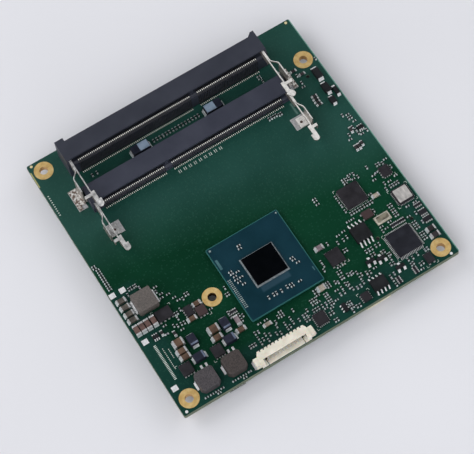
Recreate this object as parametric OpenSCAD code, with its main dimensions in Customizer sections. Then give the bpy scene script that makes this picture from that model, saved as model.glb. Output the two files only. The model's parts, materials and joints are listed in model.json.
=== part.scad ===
// Computer-on-module for an industrial controller: a square processor board with two
// stacked memory sockets along its rear edge, power parts at its front left, a small
// wire-to-board header on its front edge, and two long board-to-board plugs underneath.
// The frame is centred on the board. Z = 0 is the plane that the plugs stand on,
// +X runs along the front edge and +Y runs towards the memory sockets.

/* [Board] */
// Length of the board's front edge
board_w = 95; // [95:1:105]
// Depth of the board from the front edge to the memory edge
board_d = 95; // [95:1:105]
// Thickness of the bare board
board_t = 2; // [1.6:0.1:2.4]
// Radius of the board's corners
board_r = 0.6; // [0.2:0.1:1]
// Bore of the plated fixing holes
hole_d = 2.7; // [2.4:0.1:2.9]
// Diameter of the gold land round a fixing hole
land_d = 6.1; // [5:0.1:6.4]
// Distance of the corner fixing holes from the board's edges
hole_inset = 4; // [3.8:0.1:4.2]
// Distance from the front edge to the rear right fixing hole
rear_hole_y = 80; // [79:0.5:81]
// Thickness of the gold plating on lands and barrels
plating_t = 0.05; // [0.04:0.01:0.1]

/* [Memory sockets] */
// Width of the memory module that a socket takes
module_w = 67.6; // [67.2:0.1:68]
// Clearance on each side of the memory module
module_gap = 0.2; // [0.1:0.05:0.4]
// Height of the front socket above the board
front_h = 5.2; // [4.6:0.1:6]
// Height of the rear socket above the board
rear_h = 9.2; // [8.6:0.1:10]
// Depth of a socket housing from lip to back
socket_d = 7.2; // [6.8:0.1:7.6]
// Height of the module slot
slot_h = 2.25; // [2:0.05:2.5]
// Thickness of the roof over the slot
roof_t = 1.2; // [0.9:0.1:1.5]
// Width of the wall that closes each end of a housing
end_wall = 1.35; // [1.2:0.05:1.6]
// Distance from one contact to the next
contact_pitch = 0.6; // [0.58:0.01:0.62]
// Width of one contact
contact_w = 0.2; // [0.15:0.01:0.24]
// Width of the groove that holds one contact
groove_w = 0.35; // [0.3:0.01:0.4]
// Distance from the left edge to the middle of both sockets
socket_x = 45.6; // [45:0.1:46]
// Distance from the rear edge to the lip of the front socket
front_lip_place = 25; // [24.8:0.1:25.5]
// Distance from the rear edge to the lip of the rear socket
rear_lip_place = 10.6; // [10:0.1:10.8]

/* [Latches] */
// Thickness of the sheet that the latches are stamped from
sheet_t = 0.35; // [0.25:0.05:0.4]
// Height of the gripped root of a latch and of its detent
arm_h = 2.8; // [2.2:0.1:3]
// Height of the slim strips that leave the root
strip_h = 0.7; // [0.5:0.1:1.2]
// Distance from a housing's lip to the root of its front arms
front_root = 3.6; // [3.4:0.1:3.8]
// Distance from a housing's lip to the root of its rear arms
rear_root = 2.8; // [2.6:0.1:3]
// Length of the arm's strip from its root
arm_len = 11.4; // [11:0.1:11.8]
// Length of the arm from its root to the tip of the finger plate
finger_reach = 14.4; // [14:0.1:14.8]
// Width of the finger plate
finger_w = 2; // [1.6:0.1:2.4]
// Width of the neck between the arm and the finger plate
neck_w = 1.3; // [1:0.1:1.6]
// Angle by which the rear right finger plate is bent outwards
bent_finger = 35; // [0:1:40]
// Angle by which the rear left finger plate is bent downwards
dipped_finger = 25; // [0:1:30]
// Offset of the guard strip from the arm on the front socket
front_guard_gap = 1.2; // [1.1:0.05:1.3]
// Offset of the guard strip from the arm on the rear socket
rear_guard_gap = 1.9; // [1.7:0.05:2]
// Running gap between the springing arm and what is fixed
spring_gap = 0.05; // [0.04:0.01:0.08]

/* [Processor] */
// Width of the processor's substrate
substrate_w = 25; // [24:0.5:26]
// Depth of the processor's substrate
substrate_d = 27; // [26:0.5:28]
// Thickness of the processor's substrate
substrate_t = 0.7; // [0.5:0.1:1]
// Width of the silicon die
die_w = 10.5; // [9:0.5:12]
// Depth of the silicon die
die_d = 9.7; // [8.5:0.1:11]
// Thickness of the silicon die
die_t = 0.75; // [0.5:0.05:0.9]
// Height of the solder balls under the substrate
ball_h = 0.35; // [0.3:0.05:0.5]
// Distance from one solder ball to the next
ball_pitch = 1; // [0.9:0.05:1.2]

/* [Header] */
// Number of contacts in the white header
header_ways = 12; // [8:1:12]
// Distance from one header contact to the next
header_pitch = 1.25; // [1.2:0.01:1.25]
// Height of the white header
header_h = 2.8; // [2.5:0.1:3.4]
// Depth of the white header's body
header_d = 4.4; // [4.2:0.05:4.6]
// Thickness of the header's outer walls
header_wall = 0.6; // [0.5:0.05:0.7]

/* [Power parts] */
// Side of the two moulded inductors
coil_side = 6.6; // [6:0.1:7]
// Height of the two moulded inductors
coil_h = 3; // [2:0.1:4]
// Side of the large grey inductor
big_coil_side = 6.7; // [6.3:0.1:7]
// Height of the large grey inductor
big_coil_h = 3; // [2:0.1:4]
// Height of the polymer capacitors
polymer_h = 1.9; // [1.5:0.1:2.5]
// Height of the capacitors between the sockets
tantalum_h = 2.5; // [2:0.1:2.6]

/* [Packages] */
// Height of the flat leadless packages
qfn_h = 0.9; // [0.7:0.05:1.1]
// Height of the small outline packages
soic_h = 1.5; // [1.3:0.1:1.8]
// Height of the quad flat package with leads
quad_h = 1.1; // [1:0.1:1.6]
// Thickness of the leads
lead_t = 0.15; // [0.12:0.01:0.2]
// Height of the smallest chip parts
chip_h = 0.45; // [0.3:0.05:0.6]

/* [Underside] */
// Height of the board-to-board plugs below the board
plug_h = 4; // [3.5:0.1:5]
// Length of a board-to-board plug
plug_len = 60.6; // [60:0.1:61.2]
// Width of a board-to-board plug
plug_w = 6.6; // [6.2:0.1:7]
// Distance from one plug contact to the next
plug_pitch = 0.5; // [0.48:0.01:0.5]
// Distance from a plug's end to its locating peg
peg_inset = 1.45; // [1.2:0.05:1.7]
// Diameter of a locating peg
peg_d = 1.1; // [0.9:0.1:1.3]
// Distance from the plugs' rear ends to the rear right fixing hole
plug_to_hole = 4.35; // [4:0.05:5]
// Distance from the right edge to the outer plug
outer_plug_x = 6; // [5.8:0.1:6.4]
// Distance from the right edge to the inner plug
inner_plug_x = 18; // [17.6:0.1:18.4]

/* [Hidden] */

$fn = 48;
eps = 0.01;

// Levels of the board's two faces
board_under = plug_h;
board_top = plug_h + board_t;

// Colours
mask_green = [0.10, 0.26, 0.22];
gold = [0.80, 0.66, 0.42];
tin = [0.80, 0.80, 0.78];
steel = [0.74, 0.74, 0.73];
socket_grey = [0.24, 0.26, 0.31];
package_black = [0.13, 0.12, 0.14];
ivory = [0.88, 0.85, 0.81];
ceramic_brown = [0.44, 0.33, 0.29];

// In the tables of places, x counts from the left edge and y from the front edge. A negative x
// counts from the right edge, and a negative y from the rear edge.
function from_left(x) = x < 0 ? board_w + x : x;
function from_front(y) = y < 0 ? board_d + y : y;

// Places at a point of the board's top face
module on_board(x, y) {
    translate([x - board_w / 2, y - board_d / 2, board_top]) children();
}

// Places a part from a table on the top face
module on_top(x, y, turn = 0) {
    on_board(from_left(x), from_front(y)) rotate(turn) children();
}

// Places on the underside: x from the right edge, y from the front edge, growing down
module under_right(x, y) {
    translate([board_w / 2 - x, y - board_d / 2, board_under]) mirror([0, 0, 1]) children();
}

// Places on the underside: x from the left edge, y from the front edge, growing down
module under_left(x, y) {
    under_right(board_w - x, y) children();
}

// A block that stands on Z = 0, centred in x and y
module block(w, d, h) {
    translate([-w / 2, -d / 2, 0]) cube([w, d, h]);
}

// A block between two corners
module span(low, high) {
    translate(low) cube(high - low);
}

// A profile drawn in y and z, pulled along x about its middle
module pull_x(length) {
    translate([-length / 2, 0, 0])
        rotate([90, 0, 90]) linear_extrude(length) children();
}

// A profile drawn in x and z, pulled along y about its middle
module pull_y(length) {
    translate([0, length / 2, 0])
        rotate([90, 0, 0]) linear_extrude(length) children();
}

// A moulded body whose four sides lean in by the draft at the top
module drafted(w, d, h, draft) {
    intersection() {
        pull_y(d) polygon([
            [-w / 2, 0], [w / 2, 0], [w / 2 - draft, h], [-w / 2 + draft, h]
        ]);
        pull_x(w) polygon([
            [-d / 2, 0], [d / 2, 0], [d / 2 - draft, h], [-d / 2 + draft, h]
        ]);
    }
}

// A rectangle with cut corners
module cut_corner_square(w, d, cut) {
    polygon([
        [-w / 2 + cut, -d / 2], [w / 2 - cut, -d / 2],
        [w / 2, -d / 2 + cut], [w / 2, d / 2 - cut],
        [w / 2 - cut, d / 2], [-w / 2 + cut, d / 2],
        [-w / 2, d / 2 - cut], [-w / 2, -d / 2 + cut]
    ]);
}

// A rectangle with round corners made of true arcs
module round_square(w, d, r) {
    square([w - 2 * r, d], center = true);
    square([w, d - 2 * r], center = true);
    for (sx = [-1, 1], sy = [-1, 1])
        translate([sx * (w / 2 - r), sy * (d / 2 - r)]) circle(r);
}

// Board

// Fixing holes: x and y from the left and front edges
processor_hole = [25.8, 27.3];
fixing_holes = [
    [hole_inset, hole_inset], [board_w - hole_inset, hole_inset],
    [hole_inset, board_d - hole_inset], [board_w - hole_inset, rear_hole_y],
    processor_hole
];
barrel_wall = 0.17;
barrel_gap = 0.01;
board_hole_r = hole_d / 2 + barrel_wall + barrel_gap;
peg_hole_gap = 0.05;
plug_rows = [outer_plug_x, inner_plug_x];
peg_span = plug_len - 2 * peg_inset;
peg_y = rear_hole_y - plug_to_hole - plug_len + peg_inset;

module circuit_board() {
    color(mask_green)
    difference() {
        translate([0, 0, board_under]) linear_extrude(board_t) round_square(board_w, board_d, board_r);
        for (p = fixing_holes)
            translate([p[0] - board_w / 2, p[1] - board_d / 2, board_under - 1])
                cylinder(r = board_hole_r, h = board_t + 2);
        for (x = plug_rows, y = [peg_y, peg_y + peg_span])
            translate([board_w / 2 - x, y - board_d / 2, board_under - 1])
                cylinder(r = peg_d / 2 + peg_hole_gap, h = board_t + 2);
    }
}

// Gold lands on both faces joined by the barrel through the board, one solid per hole
module plated_hole() {
    land = land_d / 2;
    bore = hole_d / 2;
    rotate_extrude() difference() {
        translate([bore, -board_t - plating_t]) square([land - bore, board_t + 2 * plating_t]);
        translate([bore + barrel_wall, -board_t]) square([land, board_t]);
    }
}

module plated_holes() {
    color(gold)
    for (p = fixing_holes) on_board(p[0], p[1]) plated_hole();
}

// Square test lands at the left edge, alignment dots at the corners
square_lands = [[2, 25.8], [2, 8.8], [1.1, 43.6], [4.5, 43.6]];
alignment_dots = [[1.3, 0.9], [-2.5, 0.7], [1.4, -0.8], [-1.5, -0.8]];
dot_d = 0.9;
land_w = 1.9;

module tinned_pads() {
    color(tin)
    for (p = square_lands) on_top(p[0], p[1]) block(land_w, land_w * 0.9, plating_t);
    color(gold)
    for (p = alignment_dots) on_top(p[0], p[1]) cylinder(d = dot_d, h = plating_t);
}

// Memory sockets. Local frame: x = 0 in the middle, y = 0 at the lip, z = 0 on the board.

slot_half = module_w / 2 + module_gap;
housing_half = slot_half + end_wall;
lip = 0.45;
roof_setback = 0.9;
back_comb = 1;
standoff = 0.25;
lead_in = 0.45;
row_margin = 2.2;
key_jump = 3;
short_group = 36;
long_group = floor((module_w - 2 * row_margin - key_jump) / contact_pitch) + 2 - short_group;
key_w = 1.2;
contact_t = 0.15;

function slot_floor(h) = h - roof_t - slot_h;
function slot_roof(h) = h - roof_t;

// Half the run from the first contact to the last
row_half = ((short_group + long_group - 2) * contact_pitch + key_jump) / 2;
short_end = -row_half + (short_group - 1) * contact_pitch;
key_x = short_end + key_jump / 2;
contact_places = concat(
    [for (i = [0 : short_group - 1]) -row_half + i * contact_pitch],
    [for (i = [0 : long_group - 1]) short_end + key_jump + i * contact_pitch]
);

module comb(depth) {
    difference() {
        translate([-housing_half, 0]) square([2 * housing_half, depth]);
        for (x = contact_places)
            translate([x - groove_w / 2, -eps]) square([groove_w, depth + 2 * eps]);
    }
}

// Pocket in an end wall that grips the root of a latch
module latch_pocket(h) {
    span([module_w / 2 + spring_gap - eps, -1, h - 0.8 - arm_h - eps],
         [module_w / 2 + 3 * spring_gap + 2 * sheet_t, latch_seat + eps, h - 0.8 + eps]);
}

module socket_housing(h) {
    floor_z = slot_floor(h);
    roof_z = slot_roof(h);
    back = socket_d - back_comb;
    difference() {
        union() {
            pull_x(2 * housing_half) polygon([
                [lip, standoff], [back, standoff], [back, floor_z],
                [lip + 0.75, floor_z], [lip, floor_z - lead_in]
            ]);
            pull_x(2 * housing_half) polygon([
                [roof_setback, h], [socket_d, h], [socket_d, roof_z],
                [roof_setback + 1.5, roof_z], [roof_setback, roof_z + lead_in]
            ]);
            translate([0, 0, standoff]) linear_extrude(floor_z - lead_in - standoff) comb(lip + eps);
            translate([0, back - eps, standoff]) linear_extrude(roof_z - standoff + eps)
                comb(back_comb + eps);
            for (side = [-1, 1]) {
                middle = side * (slot_half + housing_half) / 2;
                translate([middle, 0, 0]) pull_x(end_wall) polygon([
                    [0, 0], [socket_d, 0], [socket_d, h], [roof_setback, h],
                    [roof_setback, roof_z + lead_in], [0, floor_z + slot_h / 2]
                ]);
            }
            span([key_x - key_w / 2, 1.6, floor_z - eps], [key_x + key_w / 2, back, roof_z + eps]);
        }
        for (side = [0, 1]) mirror([side, 0, 0]) latch_pocket(h);
    }
}

// Ears behind the tall housing, one square and one with a slanted flank
ear_d = 1.2;
ear_w = 2.9;

module housing_ears(h) {
    linear_extrude(h) polygon([
        [-housing_half, socket_d - eps], [-housing_half, socket_d + ear_d],
        [-housing_half + ear_w, socket_d + ear_d], [-housing_half + ear_w, socket_d - eps]
    ]);
    linear_extrude(h) polygon([
        [housing_half, socket_d - eps], [housing_half, socket_d + ear_d],
        [housing_half - 1.1, socket_d + ear_d], [housing_half - ear_w + 0.4, socket_d - eps]
    ]);
}

module front_socket(flip = 0) {
    on_top(socket_x, -front_lip_place) mirror([flip, 0, 0]) children();
}

module rear_socket(flip = 0) {
    on_top(socket_x, -rear_lip_place) mirror([flip, 0, 0]) children();
}

module front_socket_housing() {
    color(socket_grey) front_socket() socket_housing(front_h);
}

// The rear socket is the mirror image of the front one
module rear_socket_housing() {
    color(socket_grey) {
        rear_socket(1) socket_housing(rear_h);
        rear_socket() housing_ears(rear_h);
    }
}

// A contact under the module: tail on the board, riser in the lip, sprung beam on the floor
module lower_contact(h) {
    f = slot_floor(h);
    riser = lip - contact_t - 0.05;
    tail = -5 * contact_t;
    crest = riser + 5 * contact_t;
    beam = socket_d * 0.4;
    pull_x(contact_w) polygon([
        [tail, 0], [riser, 0], [riser, f - lip], [crest, f + 0.35], [beam, f + 0.02],
        [beam, f + 0.02 + contact_t], [crest, f + 0.35 + contact_t], [riser - contact_t, f - lip],
        [riser - contact_t, contact_t], [tail, contact_t]
    ]);
}

// A contact over the module: tail behind, riser between the comb teeth, beam under the roof
module upper_contact(h) {
    r = slot_roof(h) - contact_t;
    riser = socket_d - 0.65;
    tail = socket_d + 6 * contact_t;
    bend = socket_d * 0.64;
    dip = socket_d * 0.4;
    tip = socket_d * 0.29;
    pull_x(contact_w) polygon([
        [tail, 0], [riser, 0], [riser, r - contact_t], [bend, r - contact_t], [dip, r - 0.7],
        [tip, r - 0.3], [tip, r - 0.15], [dip, r - 0.55], [bend, r],
        [riser + contact_t, r], [riser + contact_t, contact_t], [tail, contact_t]
    ]);
}

module contact_row() {
    for (x = contact_places) translate([x, 0, 0]) children();
}

module front_lower_contacts() {
    color(tin) front_socket() contact_row() lower_contact(front_h);
}

module front_upper_contacts() {
    color(tin) front_socket() contact_row() upper_contact(front_h);
}

module rear_lower_contacts() {
    color(tin) rear_socket(1) contact_row() lower_contact(rear_h);
}

module rear_upper_contacts() {
    color(tin) rear_socket(1) contact_row() upper_contact(rear_h);
}

// Latches. Drawn for the right side of a socket: x outwards from the middle.

latch_seat = 2.6;
arm_in = module_w / 2 + spring_gap;
arm_out = arm_in + sheet_t;
guard_root = arm_out + spring_gap;
arm_mid = (arm_in + arm_out) / 2;
land_t = 0.1;
bend_len = 2.6;
guard_len = 7.4;
bend_steps = 10;

function arm_top(h) = h - 0.8;
function arm_low(h) = h - 0.8 - arm_h;

// Sideways place of the guard strip's inner face along its S-shaped bend
function bend_x(step, gap) = guard_root + (gap - spring_gap) * (1 - cos(180 * step / bend_steps)) / 2;

module guard_bend(root, gap) {
    polygon(concat(
        [for (i = [0 : bend_steps]) [bend_x(i, gap), -root - bend_len * i / bend_steps]],
        [for (i = [bend_steps : -1 : 0]) [bend_x(i, gap) + sheet_t, -root - bend_len * i / bend_steps]]
    ));
}

// The fixed half of a latch: gripped root, S-bend, guard strip and soldered foot
module latch_guard(h, root, gap, inboard) {
    low = arm_low(h);
    top = arm_top(h);
    inner = arm_out + gap;
    wall_near = -root - bend_len;
    wall_far = -root - guard_len;
    span([arm_in, -root + 0.25, low], [guard_root + sheet_t, latch_seat, top]);
    translate([0, 0, top - strip_h]) linear_extrude(strip_h) {
        guard_bend(root, gap);
        translate([guard_root, -root]) square([sheet_t, 0.3]);
    }
    span([inner, wall_far, land_t], [inner + sheet_t, wall_near + eps, top]);
    difference() {
        if (inboard)
            span([inner - foot_reach, wall_far + 0.9, land_t],
                 [inner + eps, wall_near - 0.3, land_t + sheet_t]);
        else
            union() {
                span([inner + sheet_t - eps, wall_far, land_t],
                     [inner + sheet_t + rear_foot, wall_near + 1.2, land_t + sheet_t]);
                span([inner + sheet_t + rear_foot - 1.2, wall_far - 1.4, land_t],
                     [inner + sheet_t + rear_foot, wall_far + eps, land_t + sheet_t]);
            }
        if (inboard)
            translate([inner - foot_reach + 1.2, (wall_near + wall_far) / 2 + 0.3, 0])
                cylinder(d = foot_hole_d, h = 2, $fn = 24);
    }
}

foot_reach = 3.4;
rear_foot = 2.6;
foot_hole_d = 0.9;
finger_flat = 1.4;
plate_start = 8.8;
tab_start = 9.2;
tab_w = 1;
tab_drop = 1.9;
detent_r = 0.8;
detent_rise = 0.4;

// Spoon-shaped head of a finger plate, drawn from its outer corner
module finger_head() {
    translate([-finger_w, -finger_flat]) square([finger_w, finger_flat + 0.1]);
    translate([-finger_w / 2, -finger_flat]) circle(d = finger_w, $fn = 32);
}

// The springing half of a latch: strip, detent, finger plate and stop tab
module latch_arm(h, root, gap, bend = 0, dip = 0) {
    low = arm_low(h);
    top = arm_top(h);
    plate = top - sheet_t;
    tip = -root - finger_reach + finger_w / 2;
    neck_end = tip + finger_flat;
    arm_end = -root - arm_len;
    tab_end = -root - tab_start - tab_w;
    span([arm_in, arm_end, top - strip_h], [arm_out, -root, top]);
    span([arm_in, arm_end, low], [arm_out, arm_end + 2, top]);
    translate([arm_mid, -root, top - strip_h]) cylinder(d = sheet_t, h = strip_h, $fn = 24);
    translate([arm_in + 0.1, arm_end + 1, low]) intersection() {
        translate([detent_r - detent_rise, 0, 0]) cylinder(r = detent_r, h = arm_h - sheet_t, $fn = 32);
        span([-detent_rise, -1, 0], [0, 1, arm_h]);
    }
    translate([0, 0, plate]) linear_extrude(sheet_t) {
        translate([arm_out - neck_w, neck_end]) square([neck_w, -root - plate_start - neck_end]);
        translate([arm_out, neck_end]) rotate(bend)
            translate([-neck_w, -eps]) square([neck_w, neck_w / 2]);
        translate([arm_out - eps, tab_end]) square([gap + sheet_t, tab_w]);
    }
    translate([arm_out, neck_end, plate]) rotate([dip, 0, bend])
        linear_extrude(sheet_t) finger_head();
    span([arm_out + gap, tab_end, top - tab_drop], [arm_out + gap + sheet_t, tab_end + tab_w, top]);
}

module front_left_latch_arm() {
    color(steel) front_socket(1) latch_arm(front_h, front_root, front_guard_gap);
}

module front_right_latch_arm() {
    color(steel) front_socket() latch_arm(front_h, front_root, front_guard_gap);
}

module rear_left_latch_arm() {
    color(steel) rear_socket(1) latch_arm(rear_h, rear_root, rear_guard_gap, dip = dipped_finger);
}

module rear_right_latch_arm() {
    color(steel) rear_socket() latch_arm(rear_h, rear_root, rear_guard_gap, bent_finger);
}

module front_latch_guards() {
    color(steel) for (side = [0, 1])
        front_socket(side) latch_guard(front_h, front_root, front_guard_gap, true);
}

module rear_latch_guards() {
    color(steel) for (side = [0, 1])
        rear_socket(side) latch_guard(rear_h, rear_root, rear_guard_gap, false);
}

// Tinned lands with solder under the latches' feet
module latch_lands() {
    front_out = arm_out + front_guard_gap + sheet_t;
    rear_in = arm_out + rear_guard_gap;
    for (side = [0, 1]) {
        front_socket(side) span([front_out - 5.2, -front_root - guard_len + 0.9, 0],
                                [front_out, -front_root - bend_len + 0.5, land_t]);
        rear_socket(side) span([rear_in, -rear_root - guard_len - 1.5, 0],
                               [rear_in + sheet_t + rear_foot + 0.1, -rear_root - bend_len + 1.3, land_t]);
    }
}

module solder_lands() {
    color(tin) {
        latch_lands();
        header_lands();
    }
}

// Processor

processor_place = [44.05, 27.25];
resin_w = 0.45;
ball_d = 0.55;
substrate_top = ball_h + substrate_t;

module processor() {
    on_top(processor_place[0], processor_place[1]) children();
}

module processor_substrate() {
    color([0.06, 0.20, 0.27])
    processor() translate([0, 0, ball_h])
        linear_extrude(substrate_t) cut_corner_square(substrate_w, substrate_d, 0.3);
}

module processor_die() {
    color([0.03, 0.03, 0.04])
    processor() translate([0, 0, substrate_top]) block(die_w, die_d, die_t);
}

// Bead of resin round the foot of the die
module die_resin() {
    bead_h = die_t * 0.6;
    color([0.55, 0.57, 0.58])
    processor() translate([0, 0, substrate_top]) difference() {
        drafted(die_w + 2 * resin_w, die_d + 2 * resin_w, bead_h, resin_w - 0.05);
        translate([0, 0, -1]) block(die_w, die_d, bead_h + 2);
    }
}

// The outer ring of solder balls, pressed to short six-sided posts
module processor_balls() {
    nx = floor((substrate_w - 1) / ball_pitch);
    ny = floor((substrate_d - 1) / ball_pitch);
    color(tin)
    processor() for (i = [0 : nx], j = [0 : ny])
        if (i == 0 || i == nx || j == 0 || j == ny)
            translate([(i - nx / 2) * ball_pitch, (j - ny / 2) * ball_pitch, 0])
                cylinder(d = ball_d, h = ball_h, $fn = 6);
}

// White header on the front edge. Local frame: x = 0 in the middle, y = 0 at its mouth.
// The rear wall is cut into teeth, with one gap for each pin.

header_place = [35.1, 0.15];
header_half = (header_ways - 1) * header_pitch / 2;
mouth_half = header_half + 0.45;
header_body_half = mouth_half + header_wall + 0.45;
lug_w = 1.6;
lug_h = header_h * 0.9;
pin_w = 0.4;
pin_z = header_h * 0.48;
pin_tail = 0.8;
tooth_gap = 0.5;
tooth_root = header_d - 0.45;
nail_y = 2;
nail_w = 2.4;
nail_reach = 0.45;
header_ways_x = [for (i = [0 : header_ways - 1]) -header_half + i * header_pitch];

module header() {
    on_top(header_place[0], header_place[1]) children();
}

module header_housing() {
    color(ivory)
    header() difference() {
        union() {
            linear_extrude(header_h) polygon([
                [-header_body_half, 0], [header_body_half, 0],
                [header_body_half, tooth_root - 0.5], [header_body_half - 0.6, header_d],
                [-header_body_half + 0.6, header_d], [-header_body_half, tooth_root - 0.5]
            ]);
            for (side = [-1, 1]) translate([side * (header_body_half + lug_w / 2 - eps), 1.8, 0])
                block(lug_w, 2.7, lug_h);
        }
        span([-mouth_half, -1, header_wall], [mouth_half, tooth_root - 1, header_h - header_wall]);
        span([-mouth_half, -1, header_wall], [mouth_half, 1.65, header_h + 1]);
        for (x = header_ways_x) translate([x, 0, 0]) {
            span([-pin_w / 2, 0, pin_z - pin_w / 2], [pin_w / 2, header_d + 1, pin_z + pin_w / 2]);
            span([-tooth_gap / 2, tooth_root, -1], [tooth_gap / 2, header_d + 1, header_h + 1]);
        }
        for (side = [-1, 1]) translate([side * (header_half - 0.65), 0, 0]) {
            span([-0.12, -1, -1], [0.12, 1.8, header_wall + 1]);
            span([-0.42, 1.7, -1], [0.42, 2.6, header_wall + 1]);
        }
    }
}

// Bent pins: blade in the mouth, drop between two teeth, tail on its land
module header_pins() {
    drop = tooth_root + 0.1;
    color(tin)
    header() for (x = header_ways_x) translate([x, 0, land_t]) pull_x(pin_w) polygon([
        [0.9, pin_z - pin_w / 2 - land_t], [drop, pin_z - pin_w / 2 - land_t], [drop, 0],
        [header_d + pin_tail, 0], [header_d + pin_tail, 0.2], [drop + 0.25, 0.2],
        [drop + 0.25, pin_z + pin_w / 2 - land_t], [0.9, pin_z + pin_w / 2 - land_t]
    ]);
}

// Solder nails at the header's two ends
module header_nails() {
    color(tin)
    header() for (side = [-1, 1])
        translate([side * (header_body_half + lug_w + 0.02), nail_y, land_t])
            rotate(-side * 90) strap(nail_w, nail_reach);
}

// A terminal strap that leaves the body low down and lies on the board
module strap(width, reach) {
    pull_x(width) polygon([
        [0, 0], [reach, 0], [reach, 0.2], [0.2, 0.2], [0.2, 1.1], [0, 1.1]
    ]);
}

// Tinned lands under the header's tails and nails
module header_lands() {
    header() {
        for (x = header_ways_x) translate([x, header_d + pin_tail / 2 + 0.1, 0])
            block(0.65, pin_tail + 0.2, land_t);
        for (side = [-1, 1]) translate([side * (header_body_half + lug_w + 0.27), nail_y, 0])
            block(nail_reach + 0.05, nail_w + 0.2, land_t);
    }
}

// Inductors

// Places of the two moulded inductors
moulded_places = [[11.2, 5.65], [20.3, 5.6]];
big_coil_place = [8.25, 36.5];

module moulded_body() {
    intersection() {
        linear_extrude(coil_h) cut_corner_square(coil_side, coil_side, 1.1);
        drafted(coil_side, coil_side, coil_h, 0.25);
    }
}

module moulded_inductors() {
    color([0.30, 0.28, 0.29])
    for (p = moulded_places) on_top(p[0], p[1]) moulded_body();
    color([0.52, 0.50, 0.49])
    on_top(big_coil_place[0], big_coil_place[1]) intersection() {
        linear_extrude(big_coil_h) cut_corner_square(big_coil_side, big_coil_side, 0.5);
        drafted(big_coil_side, big_coil_side, big_coil_h, 0.12);
    }
}

module inductor_terminals() {
    clear = 0.02;
    color(tin) {
        for (p = moulded_places) on_top(p[0], p[1]) {
            for (x = [0.7, 2.3]) translate([x, coil_side / 2 + clear, 0]) strap(0.7, 1.8);
            translate([-coil_side / 2 - clear, 0.2, 0]) rotate(90) strap(2.6, 0.6);
        }
        on_top(big_coil_place[0], big_coil_place[1]) for (side = [-1, 1])
            translate([side * (big_coil_side / 2 + clear), 0.2, 0]) rotate(-side * 90) strap(4.4, 0.6);
    }
}

// Ceramic capacitors: x, y, length, width, height and turn

ceramic_places = [
    [1.7, 29.9, 3.3, 1.5, 1.5, 90], [3.55, 29.9, 3.3, 1.5, 1.5, 90],
    [5.4, 29.9, 3.3, 1.5, 1.5, 90], [7.4, 29.9, 3.3, 1.5, 1.5, 90],
    [2.4, 33.5, 3, 1.5, 1.2, 0], [2.4, 35.7, 3, 1.5, 1.2, 0],
    [2.4, 38.1, 3, 1.5, 1.2, 0], [2.4, 40.5, 3, 1.5, 1.2, 0],
    [9.95, 20.05, 3.2, 2.3, 1.5, 0], [9.45, 17.3, 3.2, 1.6, 1.4, 0], [9.5, 15.25, 3.2, 1.5, 1.3, 0],
    [20.8, 18.1, 3.4, 2.3, 1.5, 0], [20.4, 15.35, 3.3, 1.6, 1.3, 0],
    [27.6, 13.8, 3, 1.4, 0.9, 0], [28.2, 16.9, 3.2, 1.4, 0.9, 90],
    [20.8, 27.9, 2.6, 1.4, 0.8, 0], [17.3, 24.5, 2.8, 1.4, 0.8, 0],
    [7.5, 25.5, 1.6, 0.8, 0.7, 90], [10.6, 23.3, 1.6, 0.8, 0.7, 90],
    [35, 11, 2.4, 1.1, 0.8, 0], [54.3, 12, 2.4, 1.7, 1, 0], [-34.4, 23.2, 2.6, 1.5, 0.9, 0],
    [-3.2, 10.5, 2.8, 1.5, 1.1, 0], [-3.2, 8.2, 2.8, 1.5, 1.1, 0], [-10.9, 28.5, 2.2, 1.2, 0.8, 0],
    [-7, 45.2, 1.9, 0.8, 0.6, 90], [-5.9, 45.2, 1.9, 0.8, 0.6, 90], [-4.7, 45.6, 1.6, 0.8, 0.6, 90],
    [-5, 51.2, 1.9, 0.8, 0.6, 90], [-8.9, 78.1, 1.9, 0.8, 0.6, 0], [-7.1, 75.8, 1.8, 0.8, 0.6, 0],
    [-8.1, 67.2, 1.6, 0.7, 0.5, 0], [-8.2, 66.1, 1.6, 0.7, 0.5, 0],
    [-8.3, 65, 1.6, 0.7, 0.5, 0], [-8.2, 63.9, 1.6, 0.7, 0.5, 0]
];
end_share = 0.17;
end_proud = 0.03;

module ceramic_body(length, width, height) {
    cap = length * end_share;
    translate([0, 0, end_proud]) block(length - 2 * cap, width, height);
}

module ceramic_ends(length, width, height) {
    cap = length * end_share;
    for (side = [-1, 1]) translate([side * (length - cap) / 2, 0, 0])
        block(cap, width + 2 * end_proud, height + 2 * end_proud);
}

module ceramic_capacitors() {
    color(ceramic_brown)
    for (p = ceramic_places) on_top(p[0], p[1], p[5]) ceramic_body(p[2], p[3], p[4]);
}

module ceramic_capacitor_ends() {
    color(tin)
    for (p = ceramic_places) on_top(p[0], p[1], p[5]) ceramic_ends(p[2], p[3], p[4]);
}

// Moulded polymer and tantalum capacitors: x, y, length, width, height and turn

polymer_places = [
    [13.85, 18.5, 3.6, 2.7, polymer_h, 90], [12.95, 12.95, 3.6, 2.7, polymer_h, 0],
    [24.55, 17.75, 3.6, 2.7, polymer_h, 90], [23.3, 12.9, 3.6, 2.7, polymer_h, 0],
    [32.6, -14.4, 6, 3.2, tantalum_h, 0], [58.6, -14.4, 6, 3.2, tantalum_h, 180]
];
case_gap = 0.1;

module polymer_capacitors() {
    color([0.14, 0.15, 0.20])
    for (p = polymer_places) on_top(p[0], p[1], p[5]) translate([0, 0, case_gap])
        drafted(p[2], p[3], p[4] - case_gap, 0.12);
}

// Terminals fold under the case and rise up its two ends
module folded_terminal(length, width, rise) {
    strip = width * 0.7;
    translate([length / 2 + 0.15, 0, 0]) rotate(-90) translate([0, -0.15, 0]) pull_x(strip) polygon([
        [-0.9, 0], [0.15, 0], [0.15, rise], [0.03, rise], [0.03, case_gap - 0.01], [-0.9, case_gap - 0.01]
    ]);
}

module polymer_terminals() {
    color(tin)
    for (p = polymer_places) on_top(p[0], p[1], p[5]) for (side = [0, 180])
        rotate(side) folded_terminal(p[2], p[3], p[4] * 0.5);
}

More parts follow.
